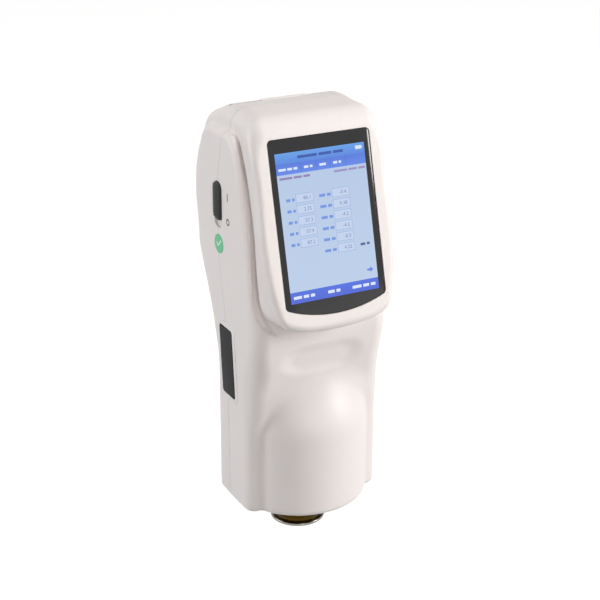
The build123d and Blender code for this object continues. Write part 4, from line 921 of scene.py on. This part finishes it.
class COLOUR_METER_OT_screen(bpy.types.Operator):
    """Lights the screen with a page of plain readings: boxes of numbers between two coloured bands"""
    bl_idname = "colour_meter.screen"
    bl_label = "Lit screen"

    def execute(self, context):
        look = context.scene.colour_meter_colours
        title, page, footer = (tuple(c) for c in (look.title, look.page, look.footer))
        deep, pale, ink = linear("#5278dc"), linear("#dfe9fb"), linear("#7080b8")
        page_low, plum, navy = linear("#bdd0ea"), linear("#8d7fb4"), linear("#2e55a8")
        box_line, box_fill, mark = linear("#94ace0"), linear("#c4d4ee"), linear("#6f93e2")
        band, foot = 5.2, 5.6
        first_row, row_pitch, box_width, box_height = 20.3, 5.45, 9.6, 4.4
        sheet = Picture()
        sheet.patch(0, 0, sheet.width, sheet.height, page, page_low, layer=0)
        # The title band, with a battery at its right end
        sheet.patch(0, 0, sheet.width, band, title, linear("#5585e0"))
        sheet.bars(12, 2.7, 25, 1.9, navy)
        sheet.box(43.8, 1.3, 3.6, 1.9, 0.25, pale, pale)
        sheet.patch(47.4, 1.8, 0.4, 0.9, pale, layer=2)
        # The tabs, and a line of plain bars under them
        sheet.patch(0, band, sheet.width, band, deep, linear("#5f86ea"))
        for left, width in ((1.2, 10.2), (15, 4.6), (23.4, 3.6), (31, 4.4)):
            sheet.bars(left, 7.9, width, 1.6, pale)
        for left in (13.2, 21.4, 29.2, 37.8):
            sheet.patch(left, 5.5, 0.22, 4.6, linear("#4465c8"), layer=2)
        sheet.bars(1.2, 12.2, 16.5, 1.5, plum)
        sheet.bars(31, 12.2, 17.2, 1.5, linear("#9a8ec4"))
        # Two columns of readings
        left_readings = ("80.1", "2.75", "57.3", "57.4", "87.2")
        right_readings = ("-0.4", "0.38", "-4.2", "-4.2", "-0.3", "4.22")
        for column, labels, readings in ((8.7, 3.5, left_readings), (28.5, 21.4, right_readings)):
            for row, reading in enumerate(readings):
                top = first_row + row_pitch * row
                sheet.box(column, top, box_width, box_height, 0.22, box_line, box_fill)
                sheet.number(reading, column + 7.9, top + box_height / 2, 1.75, ink)
                sheet.bars(labels, top + 2.5, column - labels - 0.7, 1.9, mark)
        sheet.bars(41.2, first_row + row_pitch * 5 + box_height / 2, 5.2, 1.7, linear("#4b5f92"))
        # An arrow for the next page
        arrow = [(43.4, 63.4), (45.1, 63.4), (45.1, 64.3), (46.8, 62.9), (45.1, 61.5), (45.1, 62.4),
                 (43.4, 62.4)]
        sheet.put(arrow, [(0, 1, 5, 6), (2, 3, 4)], [linear("#5f7fe6")] * len(arrow), 2)
        # The footer
        sheet.patch(0, sheet.height - foot, sheet.width, foot, linear("#4e6fe0"), footer)
        for left, width in ((1.6, 11.6), (20.5, 6.8), (34.2, 13)):
            sheet.bars(left, 70.2, width, 2.0, pale)
        dressed(sheet.mesh(), "screen_picture", "housing", slot="display")
        return {"FINISHED"}


class COLOUR_METER_OT_glass(bpy.types.Operator):
    """Sets the black-printed cover glass into the screen panel"""
    bl_idname = "colour_meter.glass"
    bl_label = "Cover glass"

    def execute(self, context):
        edge = in_mm(context.scene.colour_meter_trim).glass_edge
        sheet = prism("glass", window_outline(), on_screen, -0.8, GLASS_FRONT)
        dressed(eased(sheet, edge), "cover_glass", "housing", "touch_window", slot="window")
        return {"FINISHED"}


def point_tree(name, sizes):
    """A geometry tree that works on points, with named sizes and a material as its inputs."""
    tree = bpy.data.node_groups.new(name, "GeometryNodeTree")
    inputs = [("Geometry", "Geometry")] + [(size, "Float") for size in sizes] + [("Material", "Material")]
    for title, kind in inputs:
        tree.interface.new_socket(title, in_out="INPUT", socket_type="NodeSocket" + kind)
    tree.interface.new_socket("Geometry", in_out="OUTPUT", socket_type="NodeSocketGeometry")
    return tree, add(tree, "NodeGroupInput").outputs


def set_on_points(tree, take, shape, values=None, links=None):
    """Ends a geometry tree: a shape set on every point, made real, in the tree's material."""
    spread = add(tree, "GeometryNodeInstanceOnPoints", values=values,
                 links={"Points": take["Geometry"], "Instance": shape, **(links or {})})
    solid = add(tree, "GeometryNodeRealizeInstances", links={"Geometry": spread.outputs["Instances"]})
    painted = add(tree, "GeometryNodeSetMaterial", links={"Geometry": solid.outputs["Geometry"],
                                                          "Material": take["Material"]})
    add(tree, "NodeGroupOutput", links={"Geometry": painted.outputs["Geometry"]})


def raised(tree, shape, share, size):
    """A shape moved up by a share of a size."""
    rise = add(tree, "ShaderNodeMath", {"operation": "MULTIPLY"}, {1: share}, {0: size})
    place = add(tree, "ShaderNodeCombineXYZ", links={"Z": rise.outputs[0]})
    moved = add(tree, "GeometryNodeTransform", links={"Geometry": shape,
                                                      "Translation": place.outputs["Vector"]})
    return moved.outputs["Geometry"]


def grown(tree, points, sizes, finish, name):
    """The plain mesh that a geometry tree makes on points, from sizes in millimetres and a finish."""
    obj = placed(name, mesh_of(name, points, []))
    modifier = obj.modifiers.new("nodes", "NODES")
    modifier.node_group = tree
    for item in tree.interface.items_tree:
        if item.name in sizes:
            modifier[item.identifier] = sizes[item.name] * MM
        elif item.name == "Material":
            modifier[item.identifier] = finish
    mesh = baked(obj)
    if not mesh.polygons:
        raise RuntimeError(f"{name} came out empty")
    return mesh


def screw_tree():
    """A pan-head screw with a cross recess on every point, its shank along +Y."""
    tree, take = point_tree("Cross-recess screws", (
        "Head radius", "Head height", "Shank radius", "Shank length", "Recess width"))
    head = add(tree, "GeometryNodeMeshCylinder", values={"Vertices": 40},
               links={"Radius": take["Head radius"], "Depth": take["Head height"]})
    # The recess: two crossed bars, sunk into the head's top by a little under half its height
    span = add(tree, "ShaderNodeMath", {"operation": "MULTIPLY"}, {1: 1.25}, {0: take["Head radius"]})
    cross = add(tree, "GeometryNodeMeshBoolean", {"operation": "UNION"})
    for long_way, short_way in (("X", "Y"), ("Y", "X")):
        size = add(tree, "ShaderNodeCombineXYZ", links={
            short_way: take["Recess width"], long_way: span.outputs[0], "Z": take["Head height"]})
        bar = add(tree, "GeometryNodeMeshCube", links={"Size": size.outputs["Vector"]})
        tree.links.new(bar.outputs["Mesh"], cross.inputs["Mesh 2"])
    sunk = raised(tree, cross.outputs["Mesh"], -0.45, take["Head height"])
    cut = add(tree, "GeometryNodeMeshBoolean", {"operation": "DIFFERENCE"},
              links={"Mesh 1": head.outputs["Mesh"], "Mesh 2": sunk})
    shank = add(tree, "GeometryNodeMeshCylinder", values={"Vertices": 24},
                links={"Radius": take["Shank radius"], "Depth": take["Shank length"]})
    total = add(tree, "ShaderNodeMath", {"operation": "ADD"},
                links={0: take["Head height"], 1: take["Shank length"]})
    set_back = raised(tree, shank.outputs["Mesh"], 0.5, total.outputs[0])
    whole = add(tree, "GeometryNodeJoinGeometry")
    for part in (set_back, cut.outputs["Mesh"]):
        tree.links.new(part, whole.inputs["Geometry"])
    seated = raised(tree, whole.outputs["Geometry"], 0.5, take["Head height"])
    set_on_points(tree, take, seated, {"Rotation": (math.pi / 2, 0.0, 0.0)})
    return tree


class COLOUR_METER_OT_screws(bpy.types.Operator):
    """Drives the four casing screws into the back of the grip"""
    bl_idname = "colour_meter.screws"
    bl_label = "Casing screws"

    def execute(self, context):
        trim = in_mm(context.scene.colour_meter_trim)
        low, high, _ = box_of("casing_screws")
        sizes = {"Head radius": trim.screw_head, "Head height": SCREW_HEAD_HEIGHT, "Shank radius": 1.45,
                 "Shank length": high[1] - low[1] - SCREW_HEAD_HEIGHT, "Recess width": trim.screw_recess}
        sites = [(x, high[1], z) for x, z in SCREWS]
        mesh = grown(screw_tree(), sites, sizes, materials()["steel"], "screws")
        dressed(eased(mesh, 0.12, 2), "casing_screw_heads", "housing", "casing_screws", slot="steel")
        return {"FINISHED"}


def rib_tree():
    """Finger ribs across a round-ended key: one bar on every point, as long as the key is wide there."""
    tree, take = point_tree("Finger ribs", (
        "Width", "Straight half", "End radius", "Rib width", "Rib height", "Middle"))
    size = add(tree, "ShaderNodeCombineXYZ", links={"X": take["Rib height"], "Y": take["Width"],
                                                    "Z": take["Rib width"]})
    bar = add(tree, "GeometryNodeMeshCube", links={"Size": size.outputs["Vector"]})
    place = add(tree, "GeometryNodeInputPosition")
    height = add(tree, "ShaderNodeSeparateXYZ", links={"Vector": place.outputs["Position"]})
    # How far past the straight sides the point is, as a share of the end's radius, then the circle's width
    value = height.outputs["Z"]
    for step, other in (("SUBTRACT", take["Middle"]), ("ABSOLUTE", None), ("SUBTRACT", take["Straight half"]),
                        ("MAXIMUM", 0.0), ("DIVIDE", take["End radius"]), ("POWER", 2.0),
                        ("SUBTRACT_FROM", 1.0), ("SQRT", None)):
        first, second = (1, 0) if step == "SUBTRACT_FROM" else (0, 1)
        node = add(tree, "ShaderNodeMath", {"operation": step.removesuffix("_FROM")}, links={first: value})
        if isinstance(other, float):
            node.inputs[second].default_value = other
        elif other is not None:
            tree.links.new(other, node.inputs[second])
        value = node.outputs[0]
    shrink = add(tree, "ShaderNodeCombineXYZ", values={"X": 1.0, "Z": 1.0}, links={"Y": value})
    set_on_points(tree, take, bar.outputs["Mesh"], links={"Scale": shrink.outputs["Vector"]})
    return tree


class COLOUR_METER_OT_slider(bpy.types.Operator):
    """Fits the ribbed power slider and prints the marks beside it"""
    bl_idname = "colour_meter.slider"
    bl_label = "Power slider"

    def execute(self, context):
        trim = in_mm(context.scene.colour_meter_trim)
        low, _, (_, _, middle) = box_of("power_slider")
        face = low[0] + trim.rib_height
        width, height, radius = 8.6, 20, 3.6
        key = prism("key", stadium(SLIDER_Y, middle, width, height, radius), sideways, face, -37.45)
        stem = prism("stem", stadium(SLIDER_Y, middle, 3, 5, 0.2), sideways, -37.6, -33.5)
        key = carve(eased(key, 0.3), "UNION", stem)
        # The ribs stop short of both ends, and their feet are sunk a little into the key
        count = int((height - 2.4) / trim.rib_pitch)
        sites = [(face - trim.rib_height / 2 + 0.1, SLIDER_Y, middle + (i - (count - 1) / 2) * trim.rib_pitch)
                 for i in range(count)]
        sizes = {"Width": 8.0, "Straight half": height / 2 - radius, "End radius": radius,
                 "Rib width": 0.62 * trim.rib_pitch, "Rib height": trim.rib_height + 0.2, "Middle": middle}
        ribs = eased(grown(rib_tree(), sites, sizes, materials()["black_plastic"], "ribs"), 0.16, 2)
        key = edited(key, lambda edit: edit.from_mesh(ribs))
        dressed(smoothed(key, SOFT_ANGLE), "ribbed_slider", "power_slider", "power_slider",
                slot="black_plastic")
        self.print_marks()
        return {"FINISHED"}

    @staticmethod
    def print_marks():
        """A stroke at the slider's upper end, for on, and a ring at its lower end, for off."""
        stroke = prism("on mark", stadium(1.7, 186.7, 0.75, 4.3, 0.3), left_wall, -0.03, 0.1)
        ring = prism("off mark", disc(1.5, 174, 1.85), left_wall, -0.03, 0.1)
        ring = carve(ring, "DIFFERENCE", prism("off hole", disc(1.5, 174, 1.05), left_wall, -1, 1))
        dressed(smoothed(carve(stroke, "UNION", ring)), "switch_marks", "housing", slot="black_plastic",
                finish="ink")


def rounded_copy(node, edge, name, body, slot):
    """Dresses a CAD node in a copy of itself, its sharp edges rolled over."""
    dressed(eased(merged_copy(node), edge), name, body, node, slot=slot)


class COLOUR_METER_OT_socket_cover(bpy.types.Operator):
    """Fits the rubber socket cover and the frame round it"""
    bl_idname = "colour_meter.socket_cover"
    bl_label = "Socket cover"

    def execute(self, context):
        edge = in_mm(context.scene.colour_meter_trim).edge
        rounded_copy("port_frame", edge * 0.6, "socket_frame", "housing", "casing")
        rounded_copy("port_cover", edge, "rubber_flap", "port_cover", "rubber")
        return {"FINISHED"}


class COLOUR_METER_OT_button(bpy.types.Operator):
    """Fits the measuring button in the right wall"""
    bl_idname = "colour_meter.button"
    bl_label = "Measuring button"

    def execute(self, context):
        edge = in_mm(context.scene.colour_meter_trim).edge
        rounded_copy("measure_button", edge, "thumb_button", "measure_button", "key")
        return {"FINISHED"}


class COLOUR_METER_OT_ring(bpy.types.Operator):
    """Dresses the measuring ring and its neck in copies of their CAD parts, their edges rolled over"""
    bl_idname = "colour_meter.ring"
    bl_label = "Measuring ring"

    def execute(self, context):
        edge = in_mm(context.scene.colour_meter_trim).metal_edge
        rounded_copy("aperture_plate", edge, "steel_ring", "housing", "chrome")
        rounded_copy("aperture_neck", edge, "bronze_neck", "housing", "bronze")
        return {"FINISHED"}


class COLOUR_METER_OT_seal(bpy.types.Operator):
    """Prints a plain white tick on the round inspection seal on the left wall"""
    bl_idname = "colour_meter.seal"
    bl_label = "Inspection seal"

    def execute(self, context):
        _, _, (_, y, z) = box_of("seal_sticker")
        tick = [(y + 2.6, z + 0.3), (y + 0.9, z - 1.9), (y - 2.9, z + 2.0), (y - 2.2, z + 2.6),
                (y + 0.8, z - 0.6), (y + 2.0, z + 0.9)]
        dressed(smoothed(prism("tick", tick, left_wall, -0.24, -0.15)), "seal_tick", "housing", slot="seal",
                finish="white_ink")
        return {"FINISHED"}


class COLOUR_METER_OT_insides(bpy.types.Operator):
    """Gives every piece of the solid model that stays in view its finish"""
    bl_idname = "colour_meter.insides"
    bl_label = "Inner pieces"

    def execute(self, context):
        made = materials()
        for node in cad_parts.values():
            for slot in node.material_slots:
                finish = slot.material.name.split(".")[0]
                if finish in made:
                    # The lit page is a piece of its own, so the panel behind it is plain metal
                    slot.material = made["steel" if finish == "display" else finish]
        return {"FINISHED"}


# ---------------------------------------------------------------- stage

def lamp(name, place, size, power, tint):
    """A round lamp at a place in metres, turned towards the middle of the object."""
    data = bpy.data.lights.new(name, "AREA")
    data.shape, data.size, data.energy, data.color = "DISK", size, power, tint
    obj = placed(name, data)
    obj.location = place
    obj.rotation_euler = (Vector((0, 0, 0.12)) - Vector(place)).to_track_quat("-Z", "Y").to_euler()


def met_by(tree, *rays):
    """A value that is 1 where one of these kinds of ray meets the surface, and 0 elsewhere."""
    path = add(tree, "ShaderNodeLightPath")
    met = path.outputs[rays[0]]
    for ray in rays[1:]:
        met = add(tree, "ShaderNodeMath", {"operation": "MAXIMUM"},
                  links={0: met, 1: path.outputs[ray]}).outputs[0]
    return met


def backdrop_world(strength):
    """A pale surround that lights evenly, and that the camera, metal and glass see as white."""
    world = bpy.data.worlds.new("Pale surround")
    world.use_nodes = True
    tree = world.node_tree
    tree.nodes.clear()
    seen = met_by(tree, "Is Camera Ray", "Is Transmission Ray", "Is Glossy Ray")
    even = add(tree, "ShaderNodeBackground", values={"Color": linear("#fbfaf8"), "Strength": strength})
    white = add(tree, "ShaderNodeBackground", values={"Color": linear("#ffffff"), "Strength": 1.0})
    mix = add(tree, "ShaderNodeMixShader", links={0: seen, 1: even.outputs[0], 2: white.outputs[0]})
    add(tree, "ShaderNodeOutputWorld", links={"Surface": mix.outputs[0]})
    return world


def floor_material(shade):
    """A white sweep: it takes the object's shadow, and is lifted to white where the camera sees it."""
    material, tree = new_material("White sweep")
    seen = met_by(tree, "Is Camera Ray", "Is Glossy Ray")
    lift = add(tree, "ShaderNodeMath", {"operation": "MULTIPLY"}, {1: 0.88}, {0: seen})
    glow = add(tree, "ShaderNodeEmission", values={"Color": linear("#ffffff")},
               links={"Strength": lift.outputs[0]})
    paper = add(tree, "ShaderNodeBsdfDiffuse", values={"Color": tuple(c * 0.42 for c in shade[:3]) + (1.0,)})
    total = add(tree, "ShaderNodeAddShader", links={0: glow.outputs[0], 1: paper.outputs[0]})
    add(tree, "ShaderNodeOutputMaterial", links={"Surface": total.outputs[0]})
    return material


def camera_matrix():
    """The viewpoint: ahead and to the left of the screen, looking down by 22 degrees."""
    turn, rise, roll = math.radians(-27.60), math.radians(22.15), math.radians(0.187)
    back = Vector((math.sin(turn) * math.cos(rise), -math.cos(turn) * math.cos(rise), math.sin(rise)))
    right = Vector((math.cos(turn), math.sin(turn), 0))
    up = back.cross(right)
    across = right * math.cos(roll) + up * math.sin(roll)
    upward = up * math.cos(roll) - right * math.sin(roll)
    matrix = Matrix((across, upward, back)).transposed().to_4x4()
    matrix.translation = Vector((-332.0, -637.29, 418.52)) * MM
    return matrix


class COLOUR_METER_OT_stage(bpy.types.Operator):
    """Lays a white floor and sets the lamps and the camera"""
    bl_idname = "colour_meter.stage"
    bl_label = "Floor, lamps and camera"

    def execute(self, context):
        scene = context.scene
        look = scene.colour_meter_stage
        mesh = bpy.data.meshes.new("floor")
        mesh.from_pydata([(-4, -4, 0), (4, -4, 0), (4, 4, 0), (-4, 4, 0)], [], [(0, 1, 2, 3)])
        mesh.materials.append(floor_material(tuple(look.floor)))
        floor = placed("floor", mesh)
        scene.world = backdrop_world(look.sky)
        lamp("key lamp", (0.965, -0.727, 0.51), 0.5, look.key, (1.0, 0.985, 0.96))
        lamp("front lamp", (-0.14, -1.22, 0.36), 0.5, look.front, (1.0, 0.985, 0.965))
        lamp("top lamp", (0.05, -0.28, 1.30), 0.5, look.top, (1.0, 0.985, 0.965))
        lamp("side lamp", (-1.1, 0.42, 0.42), 0.8, look.side, (0.97, 0.985, 1.0))
        camera = placed("camera", bpy.data.cameras.new("camera"))
        camera.data.lens, camera.data.sensor_width = 90, 36
        camera.data.clip_start, camera.data.clip_end = 0.05, 20
        camera.matrix_world = camera_matrix()
        scene.camera = camera
        scene.view_settings.view_transform = "Standard"
        return {"FINISHED"}


# The operators in the order in which they run
STEPS = [COLOUR_METER_OT_insides, COLOUR_METER_OT_casing, COLOUR_METER_OT_screws, COLOUR_METER_OT_glass,
         COLOUR_METER_OT_screen, COLOUR_METER_OT_slider, COLOUR_METER_OT_socket_cover,
         COLOUR_METER_OT_button, COLOUR_METER_OT_ring, COLOUR_METER_OT_seal, COLOUR_METER_OT_stage]

SETTINGS = {"colour_meter_casing": CasingSizes, "colour_meter_trim": TrimSizes,
            "colour_meter_colours": Colours, "colour_meter_stage": StageLook}


class COLOUR_METER_PT_panel(bpy.types.Panel):
    """The pieces of the colour meter, in the order in which they are made"""
    bl_idname = "COLOUR_METER_PT_panel"
    bl_label = "Colour Meter"
    bl_space_type = "VIEW_3D"
    bl_region_type = "UI"
    bl_category = "Colour Meter"

    def draw(self, context):
        for group in SETTINGS:
            settings = getattr(context.scene, group)
            for name in settings.__annotations__:
                self.layout.prop(settings, name)
        for step in STEPS:
            self.layout.operator(step.bl_idname)


CLASSES = [*SETTINGS.values(), *STEPS, COLOUR_METER_PT_panel]


def register():
    for kind in CLASSES:
        bpy.utils.register_class(kind)
    for name, kind in SETTINGS.items():
        setattr(bpy.types.Scene, name, PointerProperty(type=kind))


def unregister():
    for name in SETTINGS:
        delattr(bpy.types.Scene, name)
    for kind in reversed(CLASSES):
        bpy.utils.unregister_class(kind)


def main():
    register()
    for step in STEPS:
        group, name = step.bl_idname.split(".")
        getattr(getattr(bpy.ops, group), name)()


if __name__ == "__main__":
    main()
